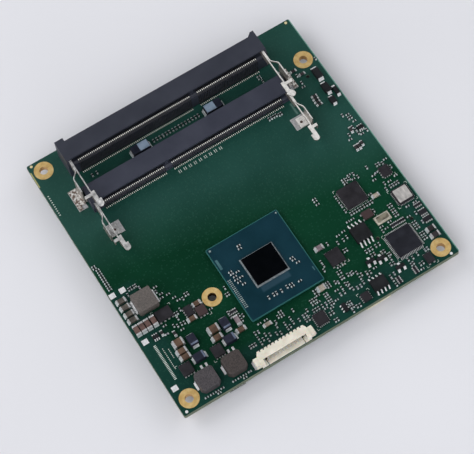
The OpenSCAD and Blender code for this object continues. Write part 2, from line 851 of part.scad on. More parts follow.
// Leadless packages: x, y, width, depth, pads on the x sides, pads on the y sides

oscillator_place = [-4, 24.4];
leadless_places = [
    [7.9, 11.9, 3.6, 3.6, 0, 4], [18.4, 11.8, 3.4, 3.6, 0, 4],
    [11, 30.2, 4.9, 3.6, 0, 4], [17.7, 27.1, 2.5, 3.2, 4, 0],
    [20.9, 25.2, 3, 3.1, 0, 3], [-32, 18.2, 4.6, 4.8, 0, 4],
    [-16.8, 32.4, 7, 7, 14, 14], [49, 4.1, 3.7, 3.9, 6, 6],
    [-31.2, 2.6, 2.6, 2.8, 4, 0], [-4, 33.8, 3, 3.4, 4, 4],
    [-8.9, 2.9, 2.4, 3.2, 0, 2], [-16.4, 24.6, 3.2, 2.6, 2, 0],
    [oscillator_place[0], oscillator_place[1], 5.2, 5.2, 10, 10]
];
pad_t = 0.05;
pad_out = 0.35;
pad_in = 0.3;

module leadless_packages() {
    color(package_black)
    for (p = leadless_places) on_top(p[0], p[1]) translate([0, 0, pad_t]) block(p[2], p[3], qfn_h);
}

// Row of lands that run under the edge of a package
module land_row(count, run, edge) {
    pitch = count > 1 ? (run - 0.8) / (count - 1) : 0;
    for (i = [0 : count - 1]) translate([(i - (count - 1) / 2) * pitch, edge + (pad_out - pad_in) / 2, 0])
        block(min(0.6, max(0.22, pitch * 0.5)), pad_out + pad_in, pad_t);
}

module leadless_pads() {
    color(tin)
    for (p = leadless_places) on_top(p[0], p[1]) for (turn = [0, 180]) {
        if (p[5] > 0) rotate(turn) land_row(p[5], p[2], p[3] / 2);
        if (p[4] > 0) rotate(turn + 90) land_row(p[4], p[3], p[2] / 2);
    }
}

// Small outline packages: x, y, turn, body width, body depth, lead span, lead pitch, lead width,
// leads in front, leads behind and height

outline_places = [
    [-21.4, 20.5, 0, 5.3, 5.3, 8.4, 1.27, 0.42, 4, 4, soic_h],
    [-25.7, 4, 0, 4.9, 3.9, 6, 1.27, 0.42, 4, 4, soic_h],
    [-24, 11.4, 0, 2.9, 1.3, 3, 1.9, 0.8, 2, 1, 1],
    [-20.7, 10.5, 0, 2.9, 1.3, 3, 1.9, 0.8, 2, 1, 1],
    [-17.5, 5.2, 0, 2.9, 1.3, 3, 1.9, 0.8, 2, 1, 1],
    [56.8, 3.2, 90, 2.9, 1.5, 2.3, 0.95, 0.4, 2, 3, 0.9],
    [5.4, 25.4, 0, 2, 1.3, 2.4, 0.65, 0.3, 3, 3, 0.95],
    [-2.1, 50.3, 0, 2, 1.3, 2.4, 0.65, 0.3, 3, 3, 0.95],
    [-3.1, 73.2, 0, 2.3, 3.8, 5.4, 1, 1.8, 1, 1, 1.4],
    [-3.5, 67.5, 0, 2.3, 3.4, 4.9, 1, 1.4, 1, 1, 1.2],
    [-4.1, 62.8, 0, 2, 2.4, 3.6, 1, 1.2, 1, 1, 1.2],
    [-1.4, 65.1, 0, 1.4, 2.8, 4.3, 1, 1.1, 1, 1, 1]
];
body_gap = 0.12;
package_draft = 0.12;

module outline_packages() {
    color(package_black)
    for (p = outline_places) on_top(p[0], p[1], p[2]) translate([0, 0, body_gap])
        drafted(p[3], p[4], p[10] - body_gap, package_draft);
}

// A gull-wing lead from the middle of the body's flank down to the board
module gull_lead(reach, height, width) {
    mid = height / 2;
    knee = reach * 0.35;
    foot = reach * 0.55;
    pull_x(width) polygon([
        [0, mid], [knee, mid], [foot, 0], [reach, 0], [reach, lead_t], [foot + 0.1, lead_t],
        [knee + 0.1, mid + lead_t], [0, mid + lead_t]
    ]);
}

module lead_row(count, pitch, edge, reach, height, width) {
    for (i = [0 : count - 1]) translate([(i - (count - 1) / 2) * pitch, edge, 0])
        gull_lead(reach, height, width);
}

// How far a drafted body's flank has leaned in at half height, less a hair of clearance
function lean(height, draft) = draft * (height / 2 - body_gap) / (height - body_gap) - 0.005;

module outline_leads() {
    color(tin)
    for (p = outline_places) on_top(p[0], p[1], p[2]) {
        edge = p[4] / 2 - lean(p[10], package_draft);
        reach = p[5] / 2 - edge;
        rotate(180) lead_row(p[8], p[6], edge, reach, p[10], p[7]);
        lead_row(p[9], p[6], edge, reach, p[10], p[7]);
    }
}

// Quad flat package with leads on four sides

quad_place = [-12.05, 11.5];
quad_side = 8.2;
quad_count = 16;
quad_pitch = 0.5;
quad_reach = 0.75;

module quad_package() {
    color(package_black)
    on_top(quad_place[0], quad_place[1]) translate([0, 0, body_gap])
        drafted(quad_side, quad_side, quad_h - body_gap, package_draft);
}

module quad_leads() {
    edge = quad_side / 2 - lean(quad_h, package_draft);
    color(tin)
    on_top(quad_place[0], quad_place[1]) for (turn = [0 : 90 : 270]) rotate(turn)
        lead_row(quad_count, quad_pitch, edge, quad_reach, quad_h, 0.22);
}

// Crystal in a metal can, and the silver lid on the oscillator's package

crystal_place = [-13.2, 21.2];
lid_t = 0.2;

module crystal_can() {
    color(tin)
    on_top(crystal_place[0], crystal_place[1]) {
        block(4.9, 2.8, 0.4);
        translate([0, 0, 0.4]) linear_extrude(0.5) round_square(4.5, 2.4, 0.6);
    }
}

module shielded_oscillator() {
    color([0.66, 0.66, 0.65])
    on_top(oscillator_place[0], oscillator_place[1])
        translate([0, 0, pad_t + qfn_h]) linear_extrude(lid_t) round_square(4.5, 4.4, 0.3);
}

// Smallest chip parts that lie across the board: x and y
chips_across = [
    [13.1, 35.1], [15.3, 35.1], [13.2, 39.1], [13.6, 36.3], [13.2, 23.2], [23.5, 24.2], [8.6, 24.4],
    [9.4, 27], [16.3, 33.2], [17, 31.8], [12.2, 0.6], [20.9, 0.6], [33.1, 12.5], [35.3, 12.5],
    [57.7, 9.1], [56.1, 6.5], [52.1, 6], [53.6, 5.2], [49.8, 8.9], [51.3, 8.9],
    [-32.7, 14.9], [-31, 14.9], [-23.9, 9], [-27.5, 23.6], [-25.4, 23.9], [-22.5, 25.8],
    [-20.9, 25.8], [-12.1, 29.8], [-15, 19], [-12.1, 19.1], [-14, 17.8], [-6.4, 17.4],
    [-4.8, 20.4], [-2.2, 20.4], [-8.3, 33.1], [-7.7, 34.5], [-6.5, 34.8], [-4.7, 30.3],
    [-2.1, 30.9], [-12.4, 1.1], [-27, 35.55], [-27, 36.75], [-27, 37.6], [-16.2, 36.7],
    [-16.2, 37.5], [-16.2, 38.3], [-13.9, 38.7], [-13.4, 36.8], [-1.8, 37.2], [-6.9, 48.5],
    [-2.8, 48.2], [-3, 56.2], [-2.4, 53.2], [-9.1, 71.7], [-18.8, -12.5], [-18.8, -13.4]
];
// Smallest chip parts that point to the sockets: x and y
chips_along = [
    [6.2, 42.7], [7, 42.7], [7.9, 42.7], [8.6, 42.7], [9.2, 41.5], [5.2, 41.4], [12.7, 37.7],
    [27.1, 20.4], [27.1, 18.9], [29.5, 18.1], [29.5, 16.3], [30.4, 17.4], [30.4, 27.7],
    [29.6, 25.5], [30.4, 25.5], [19.4, 32.2], [20.3, 32.2], [18.3, 31.5], [15.8, 29],
    [11.6, 25.6], [12.6, 25], [13.8, 26.9], [13.8, 24.9], [14.8, 24.8], [13.8, 28.5], [14.6, 28.5],
    [38.8, 11.4], [37.4, 10.4], [30.4, 10.6], [30.4, 8.8], [30.4, 7], [31.5, 10.5], [31.5, 7.8],
    [32.7, 8.7], [32.7, 6.7], [33.9, 8], [35.7, 7.2], [36.9, 9.1], [36.9, 6.7], [39.3, 8.5],
    [39.3, 6.8], [40.3, 7], [41.5, 9.1], [41.6, 7.5], [43.5, 10.8], [43.5, 7.2], [47, 8.5],
    [45.1, 5.9], [45.1, 7.5], [46.1, 5.9], [46.1, 7.5], [51.5, 7.25], [52.8, 7.25], [58.7, 11.5],
    [59.5, 11], [59.4, 8.9], [59.3, 7.4], [58, 7.4], [52.1, 3.9], [53.1, 3.9], [52.2, 1.3],
    [53.1, 1.3], [58.3, 3.8], [58.3, 2.4], [58.3, 1], [59.1, 3.7], [59.1, 2.3], [60, 1.6],
    [61, 1.5], [58.7, 17.8], [58.7, 19.2], [58, 16.5], [-31.6, 23.1], [-34.1, 13.5], [-33.1, 13.5],
    [-34.1, 11.6], [-33.3, 11.6], [-31.9, 11.5], [-31, 11.2], [-30.3, 11.4], [-34, 9.4],
    [-33.2, 9.1], [-33.7, 7.9], [-33, 7], [-31.7, 6.5], [-30.5, 6.5], [-29.3, 10.6], [-29.3, 8.6],
    [-29.3, 7], [-28.4, 9.4], [-26.9, 9.05], [-26.9, 7.9], [-25.8, 8.6], [-28.7, 18.5],
    [-27.8, 18.5], [-28.8, 21.7], [-26.9, 21.6], [-25.5, 21.9], [-22.6, 12.9], [-21.6, 12.9],
    [-19.6, 12], [-18.7, 12], [-19.9, 14.75], [-18.7, 14.75], [-18.4, 10.4], [-17.7, 10.4],
    [-18.4, 8.9], [-19.4, 7.4], [-18.4, 7.25], [-21.6, 4.2], [-21.6, 2.9], [-21.6, 1.1],
    [-20.2, 4.4], [-14.4, 4], [-13.6, 4.2], [-14.3, 5.9], [-12.8, 5.7], [-11, 5.9], [-8.4, 5.7],
    [-7.5, 5.8], [-12.1, 2.7], [-11.1, 2.8], [-14.1, 24.7], [-21.3, 34.6], [-21.3, 32.9],
    [-21.3, 31.2], [-21.3, 29.2], [-7, 28.7], [-6.4, 30.5], [-1.7, 34.2], [-3.9, 13.8],
    [-4, 17.3], [-15.5, 17.6], [-15.1, 37.8], [-14.3, 37.6], [-12.6, 38.3], [-11.9, 36.8],
    [-8, 37.9], [-5.1, 36.9], [-4.2, 36.9], [-3.2, 36.5], [-6.4, 50.1], [-4.1, 51.8],
    [-3.7, 49.1], [-3.7, 50.5], [-0.9, 48.6], [-3.4, 54.9], [-2.5, 54.9], [-4.5, 56.8],
    [-8.8, 73.3], [-8.7, 76.2], [-0.7, 78.2], [-20.6, -27.3], [-19.8, -27.3], [-18.6, -14.6]
];
// Rows of the smallest chip parts: first x and y, count, step in x, step in y, turn
chip_rows = [
    [1.55, 45.6, 10, 0, 0.84, 0], [1, 54, 2, 0, 0.85, 0], [8.4, 1.4, 4, 1.75, 0, 0],
    [17.7, 1.4, 4, 1.75, 0, 0], [40.1, 10.8, 3, 0, 0.85, 0], [52.2, 10.7, 3, 0, 0.95, 0],
    [56.6, 11.1, 3, 0, 0.8, 0], [27, 7.7, 3, 0.85, 0, 90], [49.3, 10.2, 3, 0.88, 0, 90],
    [48.5, 7.25, 3, 0.9, 0, 90], [53.9, 9.65, 2, 0.85, 0, 90], [53.9, 8, 2, 0.85, 0, 90],
    [53.9, 6.4, 2, 0.85, 0, 90], [-23.3, 14.75, 3, 1, 0, 90], [-20.4, 27.55, 9, 0.93, 0, 90],
    [-9.6, 23.45, 2, 0.9, 0, 90], [-9.6, 21.6, 2, 0.9, 0, 90], [-9.6, 20, 2, 0.9, 0, 90],
    [-5.5, 28.7, 4, 0.9, 0, 90], [-6.6, 14.8, 2, 0.9, 0, 90], [-6.6, 13.2, 2, 0.9, 0, 90],
    [-6.6, 10.7, 2, 0.9, 0, 90], [-6.6, 9.1, 2, 0.9, 0, 90], [-24, -26.95, 4, 0.85, 0, 90],
    [37.4, -13.8, 15, 1.15, 0, 90], [15.8, -13.6, 2, 1.6, 0, 90]
];
// Chip parts on the processor's own substrate, from the processor's middle: x, y and turn
package_chips = [
    [-9.8, 3.45, 0], [-9.7, 2.55, 0], [-7.9, 2.35, 0], [-9.35, 1.45, 0], [-9.6, 0.35, 0],
    [-7.85, 0.35, 0], [-9.2, -0.75, 0], [-8.3, -1.95, 0], [7.85, -2.55, 0], [8.05, -3.45, 0],
    [8.7, -4.75, 0], [3.25, -9.5, 0], [3.35, -10.4, 0], [6.05, -10.1, 0], [-3.25, 9.35, 0],
    [-3.4, 8.35, 0], [-4.5, -9.6, 90], [-2.8, -9.6, 90], [-1.8, -9.6, 90], [-0.2, -9.8, 90],
    [1.8, -9.6, 90]
];
chip_len = 1;
chip_w = 0.5;

module every_chip() {
    for (p = chips_across) on_top(p[0], p[1]) children();
    for (p = chips_along) on_top(p[0], p[1], 90) children();
    for (r = chip_rows, i = [0 : r[2] - 1]) on_top(r[0], r[1])
        translate([i * r[3], i * r[4], 0]) rotate(r[5]) children();
    for (p = package_chips) processor()
        translate([p[0], p[1], substrate_top]) rotate(p[2]) children();
}

module chip_parts() {
    color([0.42, 0.38, 0.36])
    every_chip() block(chip_len, chip_w, chip_h);
}

// Resistor arrays with four elements each: x, y, turn and distance between the two rows of ends

array_places = [
    [28.6, 19.9, 0, 1.15], [-20.1, 1.9, 90, 1.15], [-14.3, 1.9, 90, 1.15], [-2.1, 13.8, 0, 1.9],
    [-2.1, 16.4, 0, 1.9], [-2.1, 19.1, 0, 1.15], [-11.5, 17.5, 0, 1.15], [-9, 17.5, 0, 1.15]
];
array_pitch = 0.6;
array_end = 0.35;

module array_bodies() {
    color([0.16, 0.15, 0.16])
    for (p = array_places) on_top(p[0], p[1], p[2])
        translate([0, 0, end_proud]) block(4 * array_pitch, p[3] - array_end, chip_h);
}

module array_ends() {
    color(tin)
    for (p = array_places) on_top(p[0], p[1], p[2]) for (i = [0 : 3], side = [-1, 1])
        translate([(i - 1.5) * array_pitch, side * p[3] / 2, 0])
            block(array_end, array_end, chip_h + 2 * end_proud);
}

// Board-to-board plugs. Local frame: x = 0 in the middle, y = 0 at the first peg, z down.

plug_wall = 0.8;
plug_base = 1.3;
tongue_w = 1.7;
plug_count = 110;
plug_mid = peg_span / 2;

module plug_housing() {
    difference() {
        translate([0, plug_mid, 0]) linear_extrude(plug_h) cut_corner_square(plug_w, plug_len, 0.5);
        difference() {
            translate([0, plug_mid, plug_base])
                block(plug_w - 2 * plug_wall, plug_len - 2 * plug_wall, plug_h);
            translate([0, plug_mid, 0]) block(tongue_w, plug_len - 3.2, plug_h - 0.4);
        }
    }
    for (y = [0, peg_span]) translate([0, y, -board_t * 0.8])
        cylinder(d = peg_d, h = board_t * 0.8 + eps, $fn = 24);
}

module plug_housings() {
    color([0.10, 0.10, 0.11])
    for (x = plug_rows) under_right(x, peg_y) plug_housing();
}

// The contacts' tails on the board, beside the housing
module plug_contacts() {
    run = (plug_count - 1) * plug_pitch;
    color(gold)
    for (x = plug_rows) under_right(x, peg_y) for (i = [0 : plug_count - 1], side = [-1, 1])
        translate([0, plug_mid - run / 2 + i * plug_pitch, 0]) rotate([0, 0, side > 0 ? 0 : 180])
            span([plug_w / 2 + 0.02, -0.1, 0], [plug_w / 2 + 0.9, 0.1, 0.2]);
}

// Parts on the underside: x, y, width, depth, height

underside_bodies = [
    [17.9, 2.6, 5.6, 4.6, 1.1], [30, 62, 7, 7, 0.9], [14, 70, 5, 6, 1], [52, 66, 5, 5, 0.9],
    [12, 50, 6, 5, 1.5], [58, 12, 5, 4, 1.5]
];

module underside_packages() {
    color(package_black)
    for (p = underside_bodies) under_left(p[0], p[1]) translate([0, 0, pad_t])
        drafted(p[2], p[3], p[4] - pad_t, 0.1);
}

module underside_leads() {
    color(tin)
    for (p = underside_bodies) under_left(p[0], p[1]) for (turn = [0, 180]) rotate(turn)
        land_row(floor(p[2] / 0.8), p[2], p[3] / 2);
}

// Decoupling capacitors behind the processor and beside the plugs: first x, first y,
// columns, rows, step in x, step in y
underside_groups = [
    [38, 20.5, 7, 8, 2, 2], [64, 24, 3, 12, 2.2, 4], [20, 33, 4, 5, 2.5, 3], [24, 82, 12, 2, 3.6, 3]
];

module every_underside_chip() {
    for (g = underside_groups, i = [0 : g[2] - 1], j = [0 : g[3] - 1])
        under_left(g[0] + i * g[4], g[1] + j * g[5]) children();
}

module underside_capacitors() {
    color(ceramic_brown)
    every_underside_chip() block(1.2, 0.65, 0.6);
}

// Slim cable connector at the front edge of the underside
cable_place = [66.6, 2.5];
cable_w = 8.4;
cable_ways = 12;

module cable_connector() {
    color([0.86, 0.82, 0.70])
    under_left(cable_place[0], cable_place[1]) difference() {
        block(cable_w, 3.6, 1.2);
        translate([0, -1.6, 0.45]) block(cable_w - 1.2, 1.6, 0.35);
    }
}

// Dark hinged bar that clamps the cable, closed
module cable_connector_bar() {
    color([0.12, 0.11, 0.11])
    under_left(cable_place[0], cable_place[1] + 2.35) block(cable_w - 0.8, 1.06, 1);
}

module cable_connector_contacts() {
    color(tin)
    under_left(cable_place[0], cable_place[1]) for (i = [0 : cable_ways - 1])
        translate([(i - (cable_ways - 1) / 2) * 0.55, -2.1, 0]) block(0.22, 0.6, 0.15);
}

circuit_board();
plated_holes();
tinned_pads();
front_socket_housing();
rear_socket_housing();
front_lower_contacts();
front_upper_contacts();
rear_lower_contacts();
rear_upper_contacts();
front_left_latch_arm();
front_right_latch_arm();
rear_left_latch_arm();
rear_right_latch_arm();
front_latch_guards();
rear_latch_guards();
solder_lands();
processor_substrate();
processor_die();
die_resin();
processor_balls();
header_housing();
header_pins();
header_nails();
moulded_inductors();
inductor_terminals();
ceramic_capacitors();
ceramic_capacitor_ends();
polymer_capacitors();
polymer_terminals();
leadless_packages();
leadless_pads();
outline_packages();
outline_leads();
quad_package();
quad_leads();
crystal_can();
shielded_oscillator();
chip_parts();
array_bodies();
array_ends();
plug_housings();
plug_contacts();
underside_packages();
underside_leads();
underside_capacitors();
cable_connector();
cable_connector_bar();
cable_connector_contacts();
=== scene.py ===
"""Looks of the computer-on-module board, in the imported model's frame.

Blender works in metres. Sizes written here are millimetres, which MM turns into metres; only the
lamps and the floor are written in metres.
"""
import json
import math
import random

import bmesh
import bpy
from mathutils import Matrix, Vector


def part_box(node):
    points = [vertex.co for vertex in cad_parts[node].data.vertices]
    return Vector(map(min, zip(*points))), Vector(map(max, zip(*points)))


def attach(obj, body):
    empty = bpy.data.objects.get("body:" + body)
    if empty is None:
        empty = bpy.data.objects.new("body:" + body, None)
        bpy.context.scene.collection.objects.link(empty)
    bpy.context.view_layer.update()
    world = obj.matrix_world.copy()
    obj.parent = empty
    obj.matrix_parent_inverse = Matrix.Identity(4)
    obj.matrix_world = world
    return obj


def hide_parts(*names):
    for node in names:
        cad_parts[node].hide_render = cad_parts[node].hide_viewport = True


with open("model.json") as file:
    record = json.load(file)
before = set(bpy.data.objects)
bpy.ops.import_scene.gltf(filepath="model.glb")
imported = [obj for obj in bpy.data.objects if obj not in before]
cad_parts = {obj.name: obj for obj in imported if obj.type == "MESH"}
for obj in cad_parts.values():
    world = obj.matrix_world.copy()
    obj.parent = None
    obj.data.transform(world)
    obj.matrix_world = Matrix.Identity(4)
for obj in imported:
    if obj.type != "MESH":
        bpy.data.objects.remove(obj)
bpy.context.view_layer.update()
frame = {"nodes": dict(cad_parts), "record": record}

MM = 0.001
board_low, board_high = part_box("circuit_board")
BOARD_TOP = board_high[2]
BOARD_UNDER = board_low[2]
LEFT = board_low[0]
RIGHT = board_high[0]
FRONT = board_low[1]
TOP_MM = BOARD_TOP / MM
LEFT_MM = LEFT / MM
FRONT_MM = FRONT / MM


def board_point(x, y, z=0.0):
    """A point given in millimetres from the board's left and front edges and above its top face."""
    return Vector((LEFT + x * MM, FRONT + y * MM, BOARD_TOP + z * MM))


def box_mm(name):
    """Low and high corner of a node's box, in millimetres."""
    return [[value / MM for value in corner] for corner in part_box(name)]


def add_to_scene(thing):
    bpy.context.scene.collection.objects.link(thing)


# Colours, written as sRGB triples from 0 to 255 and turned into linear light

def srgb(red, green, blue):
    """Linear colour of an sRGB triple."""
    def linear(value):
        part = value / 255
        return part / 12.92 if part <= 0.04045 else ((part + 0.055) / 1.055) ** 2.4
    return (linear(red), linear(green), linear(blue), 1.0)


def shifted(tone, step):
    """The same colour, lighter by step, or darker where step is below 0."""
    return tuple(max(0, value + step) for value in tone)


class Finish:
    """A procedural material: a Principled shader, and helpers that wire nodes to it."""

    def __init__(self, name, color, roughness, metallic=0.0, specular=0.5):
        self.material = bpy.data.materials.new(name)
        self.material.use_nodes = True
        self.tree = self.material.node_tree
        self.shader = self.tree.nodes["Principled BSDF"]
        self.put(self.shader.inputs["Base Color"], color)
        self.put(self.shader.inputs["Roughness"], roughness)
        self.put(self.shader.inputs["Metallic"], metallic)
        self.put(self.shader.inputs["Specular IOR Level"], specular)
        self.place = self.add("ShaderNodeTexCoord").outputs["Object"]

    def add(self, kind, **settings):
        node = self.tree.nodes.new(kind)
        for key, value in settings.items():
            setattr(node, key, value)
        return node

    def link(self, source, target):
        self.tree.links.new(source, target)

    def put(self, target, value):
        """Links a socket, or sets a number or an sRGB triple."""
        if isinstance(value, bpy.types.NodeSocket):
            self.link(value, target)
        elif isinstance(value, tuple):
            target.default_value = srgb(*value)
        else:
            target.default_value = value

    def math(self, operation, first, second=0.0, clamp=False):
        node = self.add("ShaderNodeMath", operation=operation, use_clamp=clamp)
        self.put(node.inputs[0], first)
        self.put(node.inputs[1], second)
        return node.outputs[0]

    def above(self, value, limit):
        """1 where the value is greater than the limit, else 0."""
        return self.math("GREATER_THAN", value, limit)

    def below(self, value, limit):
        """1 where the value is less than the limit, else 0."""
        return self.math("LESS_THAN", value, limit)

    def stretched(self, scale):
        """The object's place, scaled apart along each axis."""
        node = self.add("ShaderNodeMapping")
        node.inputs["Scale"].default_value = scale
        self.link(self.place, node.inputs["Vector"])
        return node.outputs[0]

    def noise(self, size_mm, detail=3.0, roughness=0.55, stretch=(1, 1, 1)):
        """Smooth noise whose features are about size_mm across."""
        node = self.add("ShaderNodeTexNoise")
        self.link(self.stretched(stretch), node.inputs["Vector"])
        node.inputs["Scale"].default_value = 1 / (size_mm * MM)
        node.inputs["Detail"].default_value = detail
        node.inputs["Roughness"].default_value = roughness
        return node.outputs["Fac"]

    def cells(self, size_mm, metric="EUCLIDEAN", output="Distance"):
        """Irregular cells about size_mm across."""
        node = self.add("ShaderNodeTexVoronoi", distance=metric)
        self.link(self.place, node.inputs["Vector"])
        node.inputs["Scale"].default_value = 1 / (size_mm * MM)
        return node.outputs[output]

    def ramp(self, factor, stops):
        """Colour ramp; each stop is a place from 0 to 1 and a colour."""
        node = self.add("ShaderNodeValToRGB")
        elements = node.color_ramp.elements
        while len(elements) < len(stops):
            elements.new(0.5)
        for element, (place, color) in zip(elements, stops):
            element.position = place
            element.color = srgb(*color)
        self.link(factor, node.inputs["Fac"])
        return node.outputs["Color"]

    def shades(self, factor, first, second, start=0.3, stop=0.7):
        """From the first colour, where the factor is start, to the second, where it is stop."""
        return self.ramp(factor, [(start, first), (stop, second)])

    def mix(self, factor, first, second):
        node = self.add("ShaderNodeMix", data_type="RGBA")
        self.put(node.inputs["Factor"], factor)
        self.put(node.inputs[6], first)
        self.put(node.inputs[7], second)
        return node.outputs[2]

    def tint(self, base, mask, share, color):
        """Mixes a colour into base, by the mask times the share."""
        return self.mix(self.math("MULTIPLY", mask, share), base, color)

    def color(self, socket):
        self.link(socket, self.shader.inputs["Base Color"])

    def roughness(self, factor, low, high):
        node = self.add("ShaderNodeMapRange")
        self.link(factor, node.inputs["Value"])
        node.inputs["To Min"].default_value = low
        node.inputs["To Max"].default_value = high
        self.link(node.outputs["Result"], self.shader.inputs["Roughness"])

    def bump(self, height, depth_mm, strength):
        node = self.add("ShaderNodeBump")
        node.inputs["Strength"].default_value = strength
        node.inputs["Distance"].default_value = depth_mm * MM
        self.link(height, node.inputs["Height"])
        self.link(node.outputs["Normal"], self.shader.inputs["Normal"])

    def grain(self, size_mm, depth_mm, strength):
        """Fine bumps about size_mm across."""
        self.bump(self.noise(size_mm, detail=2), depth_mm, strength)

    def part(self, axis):
        """One coordinate of the object's place."""
        node = self.add("ShaderNodeSeparateXYZ")
        self.link(self.place, node.inputs[0])
        return node.outputs[axis]

    def level(self):
        """1 where the surface faces straight up or down, 0 where it stands upright."""
        node = self.add("ShaderNodeSeparateXYZ")
        self.link(self.add("ShaderNodeTexCoord").outputs["Normal"], node.inputs[0])
        return self.math("ABSOLUTE", node.outputs[2])

    def ring(self, center):
        """Distance from an upright line through center."""
        across = self.math("SUBTRACT", self.part(0), center[0])
        along = self.math("SUBTRACT", self.part(1), center[1])
        squares = [self.math("MULTIPLY", way, way) for way in (across, along)]
        return self.math("SQRT", self.math("ADD", *squares))

    def inside(self, low, high, soft_mm, inset_mm=0.0):
        """1 inside a box seen from above, 0 outside, with a soft rim; inset_mm shrinks the box."""
        result = None
        for axis in (0, 1):
            middle = (low[axis] + high[axis]) / 2
            half = (high[axis] - low[axis]) / 2 - inset_mm * MM
            away = self.math("ABSOLUTE", self.math("SUBTRACT", self.part(axis), middle))
            depth = self.math("DIVIDE", self.math("SUBTRACT", half, away), soft_mm * MM, clamp=True)
            result = depth if result is None else self.math("MULTIPLY", result, depth)
        return result

    def over(self, area, soft_mm):
        """1 over an area of the board, given by its low and high corner, with a soft rim."""
        low, high = area
        return self.inside(board_point(*low), board_point(*high), soft_mm)


# Places on the board with a look of their own, in millimetres from its left and front edges

# Across this slanting band the lacquer turns paler to the rear, a painted reflection of haze; start and
# width are on the left edge
band_slant = 0.2
band_start = 50
band_width = 18
# It is paler and bluer along the front edge and along the front half of both sides
margin_areas = [((-5, -5), (100, 10)), ((-5, 0), (10, 46)), ((87, 0), (100, 30))]
margin_soft = 3
# A pale streak, the stub of a broken-off tab, and the width of the pale strip by the right edge
streak_area = ((78.9, 64.6), (79.9, 69.4))
tab_area = ((-1, 86.5), (0.45, 92.5))
pale_rim = 0.3
# The screw hole in front of the processor's left corner, whose barrel is painted dark as shade
inner_hole = (25.7, 27.4)
inner_hole_reach = 4
# Tinned pads behind this line are cream
cream_line = 84
# Leadless packages with a browner top
mauve_packages = ((20.9, 25.2), (78.6, 24.6))
mauve_reach = 1.9


# Materials

def solder_mask():
    """Green lacquer over copper and glass-epoxy, with bare laminate on the sawn edges."""
    f = Finish("solder_mask", (12, 56, 46), roughness=0.42, specular=0.4)
    clouds = f.noise(26, detail=2)
    weave = f.noise(0.5, detail=2, stretch=(1, 0.35, 1))
    tracks = f.below(f.cells(0.9, metric="CHEBYCHEV"), 0.22)
    # The rear shades are paler and bluer as a painted reflection of haze; behind blends them in across
    # the slanting band
    rear = f.shades(clouds, (12, 60, 51), (20, 70, 61))
    front = f.shades(clouds, (4, 46, 28), (9, 58, 38))
    margin = f.over(margin_areas[0], margin_soft)
    for area in margin_areas[1:]:
        margin = f.math("MAXIMUM", margin, f.over(area, margin_soft))
    front = f.mix(margin, front, f.shades(clouds, (16, 51, 44), (22, 62, 53)))
    start = FRONT + band_slant * LEFT + band_start * MM
    slanted = f.math("ADD", f.part(1), f.math("MULTIPLY", f.part(0), band_slant))
    behind = f.math("DIVIDE", f.math("SUBTRACT", slanted, start), band_width * MM, clamp=True)
    base = f.mix(behind, front, rear)
    base = f.tint(base, tracks, 0.1, (60, 112, 94))
    base = f.tint(base, weave, 0.14, (6, 32, 24))
    base = f.tint(base, f.over(streak_area, 0.4), 0.4, (120, 150, 142))
    base = f.tint(base, f.above(f.part(0), RIGHT - pale_rim * MM), 0.55, (128, 178, 164))
    base = f.tint(base, f.over(tab_area, 0.12), 0.8, (176, 170, 112))
    fibres = f.noise(0.35, stretch=(0.15, 0.15, 1))
    laminate = f.shades(fibres, (74, 84, 68), (112, 120, 100))
    f.color(f.mix(f.below(f.level(), 0.5), base, laminate))
    gloss = f.math("ADD", 0.08, f.math("MULTIPLY", behind, 0.32))
    f.link(gloss, f.shader.inputs["Specular IOR Level"])
    f.roughness(clouds, 0.36, 0.5)
    height = f.math("ADD", f.math("MULTIPLY", tracks, 0.6), f.math("MULTIPLY", weave, 0.5))
    f.bump(height, 0.02, 0.5)
    return f.material


def gold_plate():
    """Gold lands; the barrels inside them are duller, and painted dark as shade in the hole beside the
    processor.
    """
    f = Finish("gold_plate", (226, 188, 118), roughness=0.42, metallic=0.55)
    stain = f.noise(1.6, detail=4)
    land = f.ramp(stain, [(0.3, (210, 172, 104)), (0.55, (230, 196, 130)), (0.75, (238, 212, 156))])
    # dark is painted shade for the barrel of the deep hole beside the processor
    dark = f.shades(stain, (58, 36, 14), (92, 62, 30))
    pale = f.shades(stain, (188, 146, 90), (232, 196, 138))
    shaded_hole = f.below(f.ring(board_point(*inner_hole)), inner_hole_reach * MM)
    upright = f.below(f.level(), 0.5)
    f.color(f.mix(upright, land, f.mix(shaded_hole, pale, dark)))
    f.roughness(f.noise(0.3, detail=2), 0.36, 0.56)
    f.grain(0.12, 0.004, 0.6)
    return f.material


def tin_plate(name="tin_plate", shade=232, metal=0.7, rough=(0.3, 0.48), warmth=0, cream_from=None):
    """Tin with a matt, slightly mottled skin; warmth below 0 turns it towards green.

    Behind cream_from, in millimetres from the board's front edge, it is cream instead.
    """
    pale = (shade + warmth, shade, shade)
    dull = (pale[0] - 34, shade - 34, shade - 32)
    f = Finish(name, pale, roughness=0.4, metallic=metal)
    base = f.shades(f.noise(0.7), dull, pale)
    if cream_from:
        base = f.mix(f.above(f.part(1), FRONT + cream_from * MM), base, (222, 206, 158))
    f.color(base)
    f.roughness(f.noise(0.4, detail=2), *rough)
    f.grain(0.25, 0.012, 0.5)
    return f.material


# Where the sockets' contacts carry a painted highlight: how tall that part of the tail and of the crest
# is, and how far both reach back from the front of their row
tail_height = 0.2
tail_depth = 0.45
crest_height = 0.4
crest_depth = 1.85


